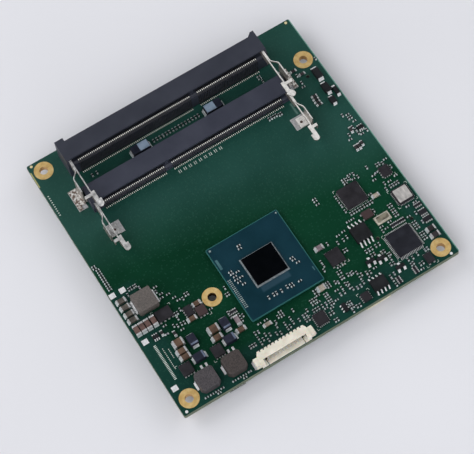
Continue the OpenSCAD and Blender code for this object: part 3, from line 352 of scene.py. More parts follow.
def contact_tin(node, bright_mm):
    """Sprung contacts: tinned tails, risers painted near black as shade, and a painted highlight on the
    tails' ends and where the module touches them.
    """
    f = Finish(node + "_tin", (180, 180, 176), roughness=0.35, metallic=0.15)
    patches = f.noise(0.5, detail=2)
    # The dark shades are painted shade on the risers, the near-white ones a painted highlight on tails
    # and crests
    dull = f.shades(patches, (22, 21, 23), (46, 43, 42))
    painted_highlight = f.shades(patches, (244, 240, 226), (255, 254, 246))
    height = f.math("SUBTRACT", f.part(2), BOARD_TOP)
    depth = f.math("SUBTRACT", f.part(1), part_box(node)[0][1])
    tail = f.below(height, tail_height * MM)
    if "lower" in node:
        # Only the tail's end and the front of the crest catch the light
        tail = f.math("MULTIPLY", tail, f.below(depth, tail_depth * MM))
        touching = f.below(depth, crest_depth * MM)
    else:
        touching = f.below(height, (bright_mm + crest_height) * MM)
    crest = f.math("MULTIPLY", touching, f.above(height, bright_mm * MM))
    f.color(f.mix(f.math("MAXIMUM", tail, crest), dull, painted_highlight))
    f.roughness(patches, 0.28, 0.45)
    f.grain(0.1, 0.004, 0.5)
    return f.material


# Spring steel is taken for soldered below this height above the board
soldered_height = 0.6


def spring_steel(name="spring_steel", flux_share=0.0):
    """Tinned spring sheet: the stamped sides painted darker as shade, the tops painted paler on the
    board's right half as painted reflection.

    With a flux_share, what is soldered to the board is painted brighter, the solder's own pale tone with
    a painted highlight, and has brown blots of flux.
    """
    f = Finish(name, (226, 224, 220), roughness=0.4, metallic=0.5)
    grain = f.noise(0.2, stretch=(1, 0.08, 1))
    stain = f.noise(1.3, detail=4)
    # Tops lighter than the sides as painted light, and greyer on the board's left half as painted
    # reflection
    left_top_reflection = f.shades(stain, (140, 140, 140), (216, 215, 213), stop=0.65)
    right_top_reflection = f.shades(stain, (206, 203, 198), (248, 245, 240), stop=0.6)
    top = f.mix(f.above(f.part(0), (LEFT + RIGHT) / 2), left_top_reflection, right_top_reflection)
    side = f.shades(stain, (120, 114, 108), (168, 162, 154))
    level = f.above(f.level(), 0.6)
    base = f.mix(level, side, top)
    if flux_share:
        # Soldered feet painted near white: the solder's pale tone with a painted highlight
        foot = f.below(f.part(2), BOARD_TOP + soldered_height * MM)
        base = f.tint(base, foot, 0.7, (250, 248, 242))
        blots = f.shades(f.noise(0.9, detail=4, roughness=0.7), (0, 0, 0), (255, 255, 255), 0.44, 0.56)
        base = f.tint(base, f.math("MULTIPLY", foot, blots), flux_share, (96, 70, 54))
    f.color(base)
    f.roughness(f.math("ADD", f.math("MULTIPLY", grain, 0.4), f.math("MULTIPLY", level, 0.5)), 0.26, 0.6)
    f.bump(grain, 0.006, 0.6)
    return f.material


def socket_plastic(name, tone):
    f = Finish(name, tone, roughness=0.5, specular=0.4)
    clouds = f.noise(9)
    f.color(f.shades(clouds, shifted(tone, -5), shifted(tone, 5)))
    f.roughness(clouds, 0.42, 0.56)
    f.grain(0.18, 0.01, 0.45)
    return f.material


def header_plastic():
    f = Finish("header_plastic", (226, 218, 206), roughness=0.45, specular=0.45)
    f.color(f.shades(f.noise(2.4), (212, 205, 188), (230, 226, 211)))
    f.put(f.shader.inputs["Subsurface Weight"], 0.15)
    f.put(f.shader.inputs["Subsurface Scale"], 0.6 * MM)
    f.roughness(f.noise(0.4, detail=2), 0.4, 0.55)
    f.grain(0.15, 0.006, 0.4)
    return f.material


# The film of resin that ran out in front of the die, and the substrate's paler cut rim
film_length = 2.7
film_tuck = 0.2
substrate_rim = 0.2


def processor_laminate():
    """Blue-green lacquered laminate, paler along its cut rim and where resin ran out from the die."""
    low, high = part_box("processor_substrate")
    die_low, die_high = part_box("processor_die")
    f = Finish("processor_laminate", (8, 44, 56), roughness=0.3, specular=0.35)
    clouds = f.noise(8)
    base = f.shades(clouds, (4, 40, 50), (8, 48, 60))
    film_low = (die_low[0] + film_tuck * MM, die_low[1] - film_length * MM)
    film_high = (die_high[0] - film_tuck * MM, die_low[1] + film_tuck * MM)
    base = f.tint(base, f.inside(film_low, film_high, 0.5), 0.35, (62, 88, 104))
    rim = f.math("SUBTRACT", 1.0, f.inside(low, high, 0.12, substrate_rim))
    f.color(f.tint(base, rim, 0.75, (46, 104, 100)))
    f.roughness(clouds, 0.28, 0.4)
    f.grain(0.35, 0.006, 0.4)
    return f.material


def silicon():
    f = Finish("silicon", (3, 5, 7), roughness=0.07, specular=0.3)
    haze = f.noise(3)
    f.color(f.shades(haze, (2, 4, 6), (5, 7, 10)))
    f.roughness(haze, 0.05, 0.1)
    f.grain(0.6, 0.001, 0.3)
    return f.material


def resin():
    f = Finish("resin", (110, 118, 122), roughness=0.3, specular=0.5)
    clouds = f.noise(1.2)
    f.color(f.shades(clouds, (66, 78, 84), (132, 138, 140)))
    f.roughness(clouds, 0.2, 0.4)
    f.bump(clouds, 0.02, 0.5)
    return f.material


# Shares of the inductors' box that part the right one of the two in front, and the big one behind
right_coil = 0.55
rear_coil = 0.6


def coil_compound():
    """Pressed iron powder: speckled grains under a thin glaze, the big coil paler."""
    low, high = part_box("moulded_inductors")
    f = Finish("coil_compound", (78, 74, 76), roughness=0.55, specular=0.4)
    grains = f.add("ShaderNodeRGBToBW")
    f.link(f.cells(0.22, output="Color"), grains.inputs[0])
    grey = grains.outputs[0]
    patches = f.noise(2.2, detail=4)
    dark = f.shades(grey, (50, 46, 50), (82, 78, 80), 0.2, 0.8)
    pale = f.shades(grey, (85, 80, 76), (108, 101, 96), 0.2, 0.8)
    warm = f.shades(grey, (46, 40, 38), (76, 68, 64), 0.2, 0.8)
    right = f.above(f.part(0), low[0] + (high[0] - low[0]) * right_coil)
    rear = f.above(f.part(1), low[1] + (high[1] - low[1]) * rear_coil)
    base = f.mix(rear, f.mix(right, dark, warm), pale)
    f.color(f.tint(base, patches, 0.4, (44, 41, 46)))
    f.roughness(patches, 0.45, 0.65)
    f.bump(grey, 0.02, 0.5)
    return f.material


def fired_ceramic(name, dark, pale):
    """Fired ceramic, and anything small and matt that only has two shades."""
    f = Finish(name, pale, roughness=0.45, specular=0.5)
    f.color(f.shades(f.noise(2.0), dark, pale, 0.35, 0.65))
    f.roughness(f.noise(0.3, detail=2), 0.36, 0.54)
    f.grain(0.2, 0.01, 0.4)
    return f.material


def package_epoxy(name="package_epoxy", tone=(21, 21, 28), mauve_places=()):
    """Black moulding compound with a fine spark-eroded grain; parts near mauve_places are browner."""
    f = Finish(name, tone, roughness=0.55, specular=0.3)
    bloom = f.noise(2.6)
    base = f.shades(bloom, shifted(tone, -9), shifted(tone, 8))
    for x, y in mauve_places:
        near = f.below(f.ring(board_point(x, y)), mauve_reach * MM)
        base = f.tint(base, near, 0.8, (66, 50, 50))
    f.color(base)
    f.roughness(bloom, 0.46, 0.62)
    f.grain(0.07, 0.012, 0.5)
    return f.material


seam_width = 0.42


def can_metal():
    """The crystal's can: a bright seam weld round a lid painted dark and mottled as a painted
    reflection.
    """
    low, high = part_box("crystal_can")
    f = Finish("can_metal", (200, 196, 186), roughness=0.34, metallic=0.6)
    scuffs = f.noise(0.9, detail=5, stretch=(1, 0.4, 1))
    seam = f.shades(scuffs, (196, 190, 176), (238, 232, 218))
    # The lid's dark mottling is a painted reflection
    lid_reflection = f.shades(f.noise(2.2, detail=1), (70, 66, 56), (176, 168, 148), 0.35, 0.6)
    f.color(f.mix(f.inside(low, high, 0.15, seam_width), seam, lid_reflection))
    f.roughness(scuffs, 0.26, 0.46)
    f.bump(scuffs, 0.01, 0.5)
    return f.material


def lid_metal():
    """The oscillator's matt silver lid."""
    f = Finish("lid_metal", (214, 210, 205), roughness=0.5, metallic=0.3)
    scuffs = f.noise(1.0, detail=5, stretch=(1, 0.4, 1))
    f.color(f.shades(scuffs, (150, 148, 146), (206, 202, 198)))
    f.roughness(scuffs, 0.42, 0.6)
    f.bump(scuffs, 0.006, 0.4)
    return f.material


def plug_plastic():
    f = Finish("plug_plastic", (30, 30, 33), roughness=0.5, specular=0.45)
    clouds = f.noise(4)
    f.color(f.shades(clouds, (24, 24, 27), (36, 36, 40)))
    f.roughness(clouds, 0.42, 0.58)
    f.grain(0.15, 0.01, 0.4)
    return f.material


def cable_plastic():
    f = Finish("cable_plastic", (222, 212, 184), roughness=0.45, specular=0.45)
    clouds = f.noise(1.4)
    f.color(f.shades(clouds, (208, 196, 166), (230, 222, 198)))
    f.roughness(clouds, 0.38, 0.55)
    f.grain(0.15, 0.006, 0.4)
    return f.material


materials = {
    "solder_mask": solder_mask(),
    "gold_plate": gold_plate(),
    "tin_plate": tin_plate(),
    "spring_steel": spring_steel(),
    "socket_plastic": socket_plastic("socket_plastic", (50, 53, 66)),
    "header_plastic": header_plastic(),
    "processor_laminate": processor_laminate(),
    "silicon": silicon(),
    "resin": resin(),
    "coil_compound": coil_compound(),
    "ceramic_body": fired_ceramic("ceramic_body", (70, 48, 40), (104, 76, 66)),
    "package_epoxy": package_epoxy(),
    "polymer_case": package_epoxy("polymer_case", (24, 28, 44)),
    "can_metal": can_metal(),
    "chip_ceramic": fired_ceramic("chip_ceramic", (60, 50, 46), (92, 78, 70)),
    "plug_plastic": plug_plastic(),
    "cable_plastic": cable_plastic(),
}
# Nodes that look unlike the rest of their slot
own_looks = {
    "rear_socket_housing": socket_plastic("rear_socket_plastic", (44, 47, 58)),
    "shielded_oscillator": lid_metal(),
    "outline_leads": tin_plate("lead_tin", 246, 0.25, (0.3, 0.5)),
    "solder_lands": tin_plate("land_tin", 196, 0.35, (0.35, 0.55)),
    "tinned_pads": tin_plate("pad_tin", 236, 0.25, (0.4, 0.6), cream_from=cream_line),
    "polymer_terminals": tin_plate("terminal_tin", 244, 0.25, (0.3, 0.5)),
    "inductor_terminals": tin_plate("coil_tin", 236, 0.3, (0.3, 0.5)),
    "rear_latch_guards": spring_steel("rear_guard_steel", flux_share=0.9),
    "leadless_packages": package_epoxy("leadless_epoxy", (31, 29, 34), mauve_packages),
    "quad_package": package_epoxy("quad_epoxy", (21, 23, 32)),
    "outline_packages": package_epoxy("outline_epoxy", (15, 17, 21)),
}
# How high above the board the painted highlight on the touching part of each row of contacts begins, in
# millimetres
contact_crests = {
    "front_lower_contacts": 1.95,
    "front_upper_contacts": 3.0,
    "rear_lower_contacts": 5.95,
    "rear_upper_contacts": 7.0,
}
contact_metals = {name: contact_tin(name, crest) for name, crest in contact_crests.items()}
# Edge rounding in millimetres; nodes that aren't named get the small one
edge_rounding = {
    "circuit_board": 0.08, "front_socket_housing": 0.07, "rear_socket_housing": 0.07,
    "header_housing": 0.08, "moulded_inductors": 0.2, "polymer_capacitors": 0.12,
    "ceramic_capacitors": 0.08, "ceramic_capacitor_ends": 0.1, "quad_package": 0.08,
    "leadless_packages": 0.05, "outline_packages": 0.08, "crystal_can": 0.12,
    "shielded_oscillator": 0.1, "plug_housings": 0.08, "front_latch_guards": 0.05,
    "rear_latch_guards": 0.05, "processor_substrate": 0.05, "processor_die": 0.03,
    "cable_connector": 0.06, "underside_packages": 0.06,
}
small_rounding = 0.03
# Nodes of many plain slivers, where a rounded edge would not show
left_sharp = set(contact_crests) | {
    "leadless_pads", "tinned_pads", "plated_holes", "underside_leads", "plug_contacts",
}


def dress_nodes():
    """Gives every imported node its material, and most of them softly rounded edges."""
    slots = {part["node"]: part["material_slot"] for part in frame["record"]["subparts"]}
    for name, node in frame["nodes"].items():
        material = contact_metals.get(name) or own_looks.get(name) or materials[slots[name]]
        node.data.materials.clear()
        node.data.materials.append(material)
        if name in left_sharp:
            continue
        weld = node.modifiers.new("weld", "WELD")
        weld.merge_threshold = 0.001 * MM
        bevel = node.modifiers.new("rounding", "BEVEL")
        bevel.width = edge_rounding.get(name, small_rounding) * MM
        bevel.segments = 2
        bevel.limit_method = "ANGLE"
        bevel.angle_limit = math.radians(35)
        bevel.use_clamp_overlap = True


# Solids of a node, read back from its mesh

def solids_of(name):
    """(low, high) corners of each separate solid of a node, in millimetres, in a steady order."""
    microns_in_metre = 1e6
    mesh = frame["nodes"][name].data
    places = {}
    groups = []
    owner = []

    def root(index):
        while groups[index] != index:
            groups[index] = groups[groups[index]]
            index = groups[index]
        return index

    for vertex in mesh.vertices:
        key = tuple(round(value * microns_in_metre) for value in vertex.co)
        if key not in places:
            places[key] = len(groups)
            groups.append(len(groups))
        owner.append(places[key])
    for polygon in mesh.polygons:
        first = root(owner[polygon.vertices[0]])
        for index in polygon.vertices[1:]:
            groups[root(owner[index])] = first
    corners = {}
    for vertex in mesh.vertices:
        key = root(owner[vertex.index])
        point = [value / MM for value in vertex.co]
        low, high = corners.setdefault(key, (list(point), list(point)))
        for axis in range(3):
            low[axis] = min(low[axis], point[axis])
            high[axis] = max(high[axis], point[axis])
    return sorted((tuple(round(v, 3) for v in low), tuple(round(v, 3) for v in high))
                  for low, high in corners.values())


def middle_of(low, high):
    """Middle of a box seen from above."""
    return [(low[axis] + high[axis]) / 2 for axis in (0, 1)]


def size_of(low, high):
    return [high[axis] - low[axis] for axis in range(3)]


def long_axis(low, high):
    """0 for a solid that is wider than deep, else 1."""
    width, depth, _ = size_of(low, high)
    return 0 if width > depth else 1


def beyond(low, high, axis, side, reach, gap=0.0):
    """Corners of a box next to one end of another: reach long, and gap away from it."""
    next_low, next_high = list(low), list(high)
    if side > 0:
        next_low[axis] = high[axis] + gap
        next_high[axis] = next_low[axis] + reach
    else:
        next_high[axis] = low[axis] - gap
        next_low[axis] = next_high[axis] - reach
    return next_low, next_high


# Mesh building, in millimetres

class Builder:
    """Collects small shapes into one mesh; a block may have its own material index."""

    def __init__(self):
        self.mesh = bmesh.new()

    def faces(self, points, faces, index=0):
        vertices = [self.mesh.verts.new(Vector(point) * MM) for point in points]
        for face in faces:
            made = self.mesh.faces.new([vertices[corner] for corner in face])
            made.material_index = index

    def block(self, low, high, cut, index=0):
        """A block whose twelve edges are chamfered by cut, or by less where it is thin."""
        widest_cut = min(size_of(low, high)) * 0.45
        cut = min(cut, widest_cut)
        points = []
        for corner in range(8):
            side = [corner >> axis & 1 for axis in range(3)]
            for proud in range(3):
                point = []
                for axis in range(3):
                    inset = 0 if axis == proud else cut
                    point.append(high[axis] - inset if side[axis] else low[axis] + inset)
                points.append(tuple(point))
        faces = []
        for axis in range(3):
            first, second = [(1, 2), (2, 0), (0, 1)][axis]
            for end in (0, 1):
                ring = []
                for a, b in ((0, 0), (1, 0), (1, 1), (0, 1)):
                    corner = (end << axis) | (a << first) | (b << second)
                    ring.append(corner * 3 + axis)
                faces.append(ring if end else ring[::-1])
            for a in (0, 1):
                for b in (0, 1):
                    start = (a << first) | (b << second)
                    stop = start | (1 << axis)
                    quad = [start * 3 + first, stop * 3 + first, stop * 3 + second, start * 3 + second]
                    faces.append(quad if a != b else quad[::-1])
        for corner in range(8):
            turn = sum(corner >> axis & 1 for axis in range(3)) % 2
            trio = [corner * 3, corner * 3 + 1, corner * 3 + 2]
            faces.append(trio if turn else trio[::-1])
        self.faces(points, faces, index)

    def disc(self, center, radius, height):
        """A flat round patch with a small standing edge."""
        sides = 12
        taper = 0.92
        points = []
        for level, reach in ((0, radius), (height, radius * taper)):
            for step in range(sides):
                angle = 2 * math.pi * step / sides
                x = center[0] + reach * math.cos(angle)
                y = center[1] + reach * math.sin(angle)
                points.append((x, y, center[2] + level))
        faces = [list(range(sides, 2 * sides))]
        for step in range(sides):
            after = (step + 1) % sides
            faces.append([step, after, sides + after, sides + step])
        self.faces(points, faces)

    def wedge(self, low, high, axis, side):
        """A solder fillet: full height towards the part, thin at its outer edge."""
        other = 1 - axis
        near, far = (low[axis], high[axis]) if side > 0 else (high[axis], low[axis])
        rise = high[2] - low[2]
        thin = low[2] + rise * 0.12
        hollow = low[2] + rise * 0.4
        profile = [(near, low[2]), (far, low[2]), (far, thin)]
        profile += [((near + far) / 2, hollow), (near, high[2])]
        points = []
        for across in (low[other], high[other]):
            for along, level in profile:
                point = [0, 0, level]
                point[axis] = along
                point[other] = across
                points.append(tuple(point))
        count = len(profile)
        faces = [list(range(count)), list(range(count, 2 * count))[::-1]]
        for step in range(count):
            after = (step + 1) % count
            faces.append([step, step + count, after + count, after])
        self.faces(points, faces)

    def finish(self, name, looks, replaced=()):
        """Makes the piece, riding on the board and in place of the replaced nodes."""
        bmesh.ops.recalc_face_normals(self.mesh, faces=self.mesh.faces)
        data = bpy.data.meshes.new(name)
        self.mesh.to_mesh(data)
        self.mesh.free()
        for material in looks:
            data.materials.append(material)
        piece = bpy.data.objects.new(name, data)
        add_to_scene(piece)
        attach(piece, "board")
        if replaced:
            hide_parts(*replaced)


# Small chips, with the plated ends and the solder that the plain solids leave out

chip_looks = [
    fired_ceramic("chip_black", (22, 21, 24), (40, 38, 42)),
    fired_ceramic("chip_brown", (50, 40, 37), (74, 62, 57)),
    fired_ceramic("chip_tan", (92, 86, 80), (122, 114, 106)),
    fired_ceramic("chip_grey", (78, 80, 88), (110, 112, 120)),
]
chip_shares = [0.88, 0.04, 0.02, 0.06]
chip_seed = 7
# An end's share of the chip's length, the share of it that the body leaves free, and how far the
# body's other sides stay behind the ends'
end_share = 0.23
end_free = 0.9
body_inset = 0.02
solder_metal = tin_plate("solder_metal", 226, 0.4, (0.26, 0.44), warmth=-7)
# How far solder reaches out from an end, how high it climbs, and its thickness underneath
chip_solder_reach = 0.12
chip_solder_climb = 0.55
chip_solder_depth = 0.08


def chip_set(node, name, upward):
    """Replaces a node of plain chip blocks with bodies, plated ends and solder."""
    rng = random.Random(chip_seed)
    bodies = Builder()
    ends = Builder()
    for low, high in solids_of(node):
        size = size_of(low, high)
        axis = long_axis(low, high)
        look = rng.choices(range(len(chip_looks)), chip_shares)[0]
        cap = size[axis] * end_share
        body_low, body_high = list(low), list(high)
        body_low[axis] += cap * end_free
        body_high[axis] -= cap * end_free
        for other in (1 - axis, 2):
            body_low[other] += body_inset
            body_high[other] -= body_inset
        bodies.block(body_low, body_high, cut=0.03, index=look)
        for side in (-1, 1):
            end_low, end_high = list(low), list(high)
            if side < 0:
                end_high[axis] = low[axis] + cap
            else:
                end_low[axis] = high[axis] - cap
            ends.block(end_low, end_high, cut=0.05)
            fillet_low, fillet_high = beyond(low, high, axis, side, chip_solder_reach)
            if upward:
                fillet_high[2] = low[2] + size[2] * chip_solder_climb
                ends.wedge(fillet_low, fillet_high, axis, side)
            else:
                fillet_low[2] = high[2] - chip_solder_depth
                ends.block(fillet_low, fillet_high, cut=0.02)
    bodies.finish(name + "_bodies", chip_looks, replaced=(node,))
    ends.finish(name + "_ends", [solder_metal], replaced=(node,))


# Ceramic capacitors, coloured one by one

capacitor_looks = [
    fired_ceramic("capacitor_brown", (70, 52, 40), (100, 78, 62)),
    fired_ceramic("capacitor_red", (76, 56, 52), (106, 82, 76)),
    fired_ceramic("capacitor_grey", (58, 54, 50), (96, 90, 82)),
    fired_ceramic("capacitor_cream", (122, 114, 102), (174, 164, 150)),
    fired_ceramic("capacitor_lilac", (106, 94, 100), (142, 128, 132)),
    fired_ceramic("capacitor_black", (26, 24, 26), (48, 44, 46)),
]
BROWN, RED, GREY, CREAM, LILAC, BLACK = range(len(capacitor_looks))
# Where a look other than brown applies: low corner, high corner and look, in millimetres from the
# board's left and front edges
capacitor_areas = [
    ((0, 28), (8.6, 32), RED),
    ((0, 32), (5, 42.5), GREY),
    ((33, 10), (37, 12), CREAM),
    ((53, 11), (56, 13), CREAM),
    ((82.5, 27), (85.5, 30.5), CREAM),
    ((59, 22), (62, 24.5), LILAC),
    ((27, 15), (29.5, 18.8), LILAC),
    ((90, 7), (94, 11.6), BLACK),
    ((83, 43), (95, 80), BLACK),
    ((6, 22), (12, 27), BLACK),
]
# Below this height they are black everywhere else
low_capacitor = 0.65
capacitor_solder_reach = 0.28
capacitor_solder_climb = 0.6


def capacitor_look(x, y, height):
    for low, high, look in capacitor_areas:
        if low[0] <= x <= high[0] and low[1] <= y <= high[1]:
            return look
    return BLACK if height < low_capacitor else BROWN


def capacitor_bodies():
    """Replaces the plain bodies by ones in the colours of their kinds; the plated ends stay."""
    bodies = Builder()
    for low, high in solids_of("ceramic_capacitors"):
        x, y = middle_of(low, high)
        look = capacitor_look(x - LEFT_MM, y - FRONT_MM, high[2] - TOP_MM)
        bodies.block(low, high, cut=0.06, index=look)
    bodies.finish("capacitor_bodies", capacitor_looks, replaced=("ceramic_capacitors",))


def offset_from_body(low, high, bodies):
    """The way from the nearest body's middle to the middle of a plated end."""
    x, y = middle_of(low, high)
    middles = [middle_of(*body) for body in bodies]
    return min(((x - at[0], y - at[1]) for at in middles), key=lambda way: math.hypot(*way))


def capacitor_solder():
    """A fillet of solder outside each plated end."""
    solder = Builder()
    bodies = solids_of("ceramic_capacitors")
    for low, high in solids_of("ceramic_capacitor_ends"):
        away = offset_from_body(low, high, bodies)
        axis = 0 if abs(away[0]) > abs(away[1]) else 1
        side = 1 if away[axis] > 0 else -1
        fillet_low, fillet_high = beyond(low, high, axis, side, capacitor_solder_reach)
        fillet_low[2] = TOP_MM
        fillet_high[2] = TOP_MM + (high[2] - TOP_MM) * capacitor_solder_climb
        solder.wedge(fillet_low, fillet_high, axis, side)
    solder.finish("capacitor_solder", [solder_metal])


# Moulded capacitors: solder outside their terminals, and fields that mark one end

terminal_depth = 0.15
polymer_solder_reach = 0.45
polymer_solder_climb = 0.35
# Half of the fillet's width, as a share of the case's
polymer_solder_half = 0.36


def polymer_solder():
    """A bright fillet outside each terminal of the moulded capacitors."""
    solder = Builder()
    for low, high in solids_of("polymer_capacitors"):
        size = size_of(low, high)
        axis = long_axis(low, high)
        other = 1 - axis
        half = size[other] * polymer_solder_half
        middle = middle_of(low, high)[other]
        for side in (-1, 1):
            fillet_low, fillet_high = beyond(low, high, axis, side, polymer_solder_reach, terminal_depth)
            fillet_low[other] = middle - half
            fillet_high[other] = middle + half
            fillet_low[2] = TOP_MM
            fillet_high[2] = TOP_MM + size[2] * polymer_solder_climb
            solder.wedge(fillet_low, fillet_high, axis, side)
    solder.finish("polymer_solder", [solder_metal])


# How far flat marks stand proud, and their chamfer
mark_rise = 0.02
mark_cut = 0.004
field_looks = [
    fired_ceramic("polymer_field", (74, 84, 104), (104, 114, 134)),
    fired_ceramic("tantalum_field", (112, 130, 150), (140, 158, 178)),
]
# The two cases between the sockets are behind this line; the right one is past the board's middle
behind_sockets = 60
right_of_middle = 45
# A field's share of the case's length and how far it stays from the case's sides
field_share = 0.16
field_inset = 0.2
rear_field_share = 0.55
rear_field_inset = 0.25


def polarity_fields():
    """A plain pale band at one end of each moulded case, larger on the two between the sockets."""
    fields = Builder()
    for low, high in solids_of("polymer_capacitors"):
        axis = long_axis(low, high)
        rear = low[1] - FRONT_MM > behind_sockets
        inset = rear_field_inset if rear else field_inset
        length = size_of(low, high)[axis] * (rear_field_share if rear else field_share)
        band_low = [low[0] + inset, low[1] + inset, high[2]]
        band_high = [high[0] - inset, high[1] - inset, high[2] + mark_rise]
        at_low_end = axis == 1 or (rear and low[0] - LEFT_MM > right_of_middle)
        if at_low_end:
            band_high[axis] = band_low[axis] + length
        else:
            band_low[axis] = band_high[axis] - length
        fields.block(band_low, band_high, mark_cut, 1 if rear else 0)
    fields.finish("polarity_fields", field_looks)


# Brown flux in the holes of the front latches' feet

flux_look = fired_ceramic("flux_brown", (70, 44, 38), (104, 72, 62))
# The hole's place from the guard's outer side and its front, and its radius
foot_hole_inset = 2.55
foot_hole_reach = 2.7
foot_hole_radius = 0.44
# The spot's height above the board and its thickness
flux_level = 0.1
flux_depth = 0.03


def flux_spots():
    """Brown flux at the bottom of the hole in each front latch's foot."""
    spots = Builder()
    board_middle = (LEFT + RIGHT) / 2 / MM
    for low, high in solids_of("front_latch_guards"):
        on_right = middle_of(low, high)[0] > board_middle
        x = high[0] - foot_hole_inset if on_right else low[0] + foot_hole_inset
        spots.disc((x, low[1] + foot_hole_reach, TOP_MM + flux_level), foot_hole_radius, flux_depth)
    spots.finish("flux_spots", [flux_look])


# Rims of underside parts that show below the board's front edge

edge_reach = 0.1
# The ledge: how far under the board it hangs, its height, and its teeth
ledge_drop = 0.2
ledge_height = 0.6
ledge_teeth = 12
tooth_width = 0.3
tooth_inset = 0.05
# The package's rim: its inset from the sides, from top and bottom, and how deep it is rooted
package_rim = fired_ceramic("package_rim", (64, 64, 66), (92, 91, 90))
rim_side_inset = 0.1
rim_level_inset = 0.25
rim_root = 0.2


def cable_connector_ledge():
    """A toothed cream ledge before the cable connector's mouth."""
    ledge = Builder()
    low, high = box_mm("cable_connector")
    top = BOARD_UNDER / MM - ledge_drop
    bottom = top - ledge_height
    ledge.block((low[0], FRONT_MM, bottom), (high[0], low[1], top), cut=0.05)
    pitch = (high[0] - low[0] - 2 * tooth_width) / (ledge_teeth - 1)
    for step in range(ledge_teeth):
        x = low[0] + tooth_width / 2 + step * pitch
        tooth_low = (x, FRONT_MM - edge_reach, bottom + tooth_inset)
        tooth_high = (x + tooth_width, FRONT_MM + edge_reach, top - tooth_inset)
        ledge.block(tooth_low, tooth_high, cut=0.04)
    ledge.finish("cable_connector_ledge", [materials["cable_plastic"]])


def front_package_rim():
    """A grey rim on the foremost package of the underside."""
    rim = Builder()
    low, high = min(solids_of("underside_packages"), key=lambda solid: solid[0][1])
    rim_low = (low[0] + rim_side_inset, FRONT_MM - edge_reach / 2, low[2] + rim_level_inset)
    rim_high = (high[0] - rim_side_inset, low[1] + rim_root, high[2] - rim_level_inset)
    rim.block(rim_low, rim_high, cut=0.06)
    rim.finish("front_package_rim", [package_rim])


# Print on the board: plain strokes, no lettering. Places are millimetres from the left and front edges

white_print = fired_ceramic("white_print", (168, 180, 172), (206, 214, 206))
# Pairs of short ticks in front of the low socket
tick_pairs = 9
first_tick = (38.6, 67.35)
tick_size = (0.22, 1.05)
tick_gap = 0.6
pair_step = 1.8
# Columns of equal strokes: x and y of the first, its width and length, the step, how many. A ladder
# by the left edge, two columns of dashes next to it, and ticks further back along that edge
stroke_columns = [
    (3.3, 11.1, 0.8, 0.24, 0.48, 26),
    (5.1, 14.2, 0.25, 0.3, 0.62, 12),
    (6.5, 17, 0.25, 0.3, 0.6, 6),
    (0.7, 75, 0.45, 0.3, 0.82, 10),
]
# Angles off the corners of square packages: distance from the package, length, half a stroke's width
angle_gap = 0.75
angle_length = 0.7
angle_half = 0.06
angle_share = 0.5
angle_seed = 21


def board_stroke(marks, x, y, width, length):
    low = (LEFT_MM + x, FRONT_MM + y, TOP_MM)
    high = (low[0] + width, low[1] + length, TOP_MM + mark_rise)
    marks.block(low, high, mark_cut)


def corner_angle(marks, x, y, toward_x, toward_y):
    """Two strokes that start at one point, each along one side of a package."""
    for run_x, run_y in ((angle_length * toward_x, 0), (0, angle_length * toward_y)):
        half_x = 0 if run_x else angle_half
        half_y = 0 if run_y else angle_half
        low = (min(x, x + run_x) - half_x, min(y, y + run_y) - half_y, TOP_MM)
        high = (max(x, x + run_x) + half_x, max(y, y + run_y) + half_y, TOP_MM + mark_rise)
        marks.block(low, high, mark_cut)


def print_marks():
    """Generic marks: pairs of ticks, columns of strokes, and angles off packages' corners."""
    marks = Builder()
    for step in range(tick_pairs):
        x = first_tick[0] + step * pair_step
        board_stroke(marks, x, first_tick[1], *tick_size)
        board_stroke(marks, x + tick_gap, first_tick[1], *tick_size)
    for x, y, width, length, step_y, count in stroke_columns:
        for step in range(count):
            board_stroke(marks, x, y + step * step_y, width, length)
    rng = random.Random(angle_seed)
    for node in ("leadless_packages", "quad_package"):
        for low, high in solids_of(node):
            for x, toward_x in ((low[0] - angle_gap, 1), (high[0] + angle_gap, -1)):
                for y, toward_y in ((low[1] - angle_gap, 1), (high[1] + angle_gap, -1)):
                    if rng.random() >= angle_share:
                        corner_angle(marks, x, y, toward_x, toward_y)
    marks.finish("print_marks", [white_print])


# Marks on the processor's substrate: dots from its middle, the rest from its left and front sides

substrate_print = fired_ceramic("substrate_print", (120, 138, 138), (168, 180, 176))
faint_print = fired_ceramic("faint_print", (44, 84, 92), (66, 104, 108))
# x, y and radius
substrate_dots = [(-11.4, 12.5, 0.35), (11.75, 12.5, 0.25)]
# The ladder: x of its two columns, y of the first rung, size of a dash, step and count
rung_columns = (0.5, 1.1)
first_rung = 4.8
rung_size = (0.42, 0.26)
rung_step = 0.62
rungs = 17
# The faint fields by the left and the right side: distance from the side, y, width and length
left_field = (0.7, 19, 0.8, 3.6)
right_field = (1.1, 4, 0.4, 1.4)


def processor_marks():
    """Two bare dots, a ladder of dashes and two faint fields on the processor's substrate."""
    marks = Builder()
    low, high = box_mm("processor_substrate")
    middle = middle_of(low, high)
    bottom = high[2]

    def patch(x, y, width, length, look):
        top = bottom + mark_rise
        marks.block((x, y, bottom), (x + width, y + length, top), mark_cut, look)

    for x, y, radius in substrate_dots:
        marks.disc((middle[0] + x, middle[1] + y, bottom), radius, mark_rise)
    for step in range(rungs):
        for x in rung_columns:
            patch(low[0] + x, low[1] + first_rung + step * rung_step, *rung_size, 0)
    inset, y, *size = left_field
    patch(low[0] + inset, low[1] + y, *size, 1)
    inset, y, *size = right_field
    patch(high[0] - inset, low[1] + y, *size, 1)
    marks.finish("processor_marks", [substrate_print, faint_print])


# Camera, fitted to the photograph's board corners and screw holes. The eye is in millimetres from the
# board's left and front edges and above its top

camera_eye = (-47.21, -162.88, 495.94)
camera_forward = (0.16717, 0.37732, -0.91087)
camera_right = (0.85093, -0.52184, -0.06)
sensor_width = 36
focal_length = 138.04
nearest_seen = 20


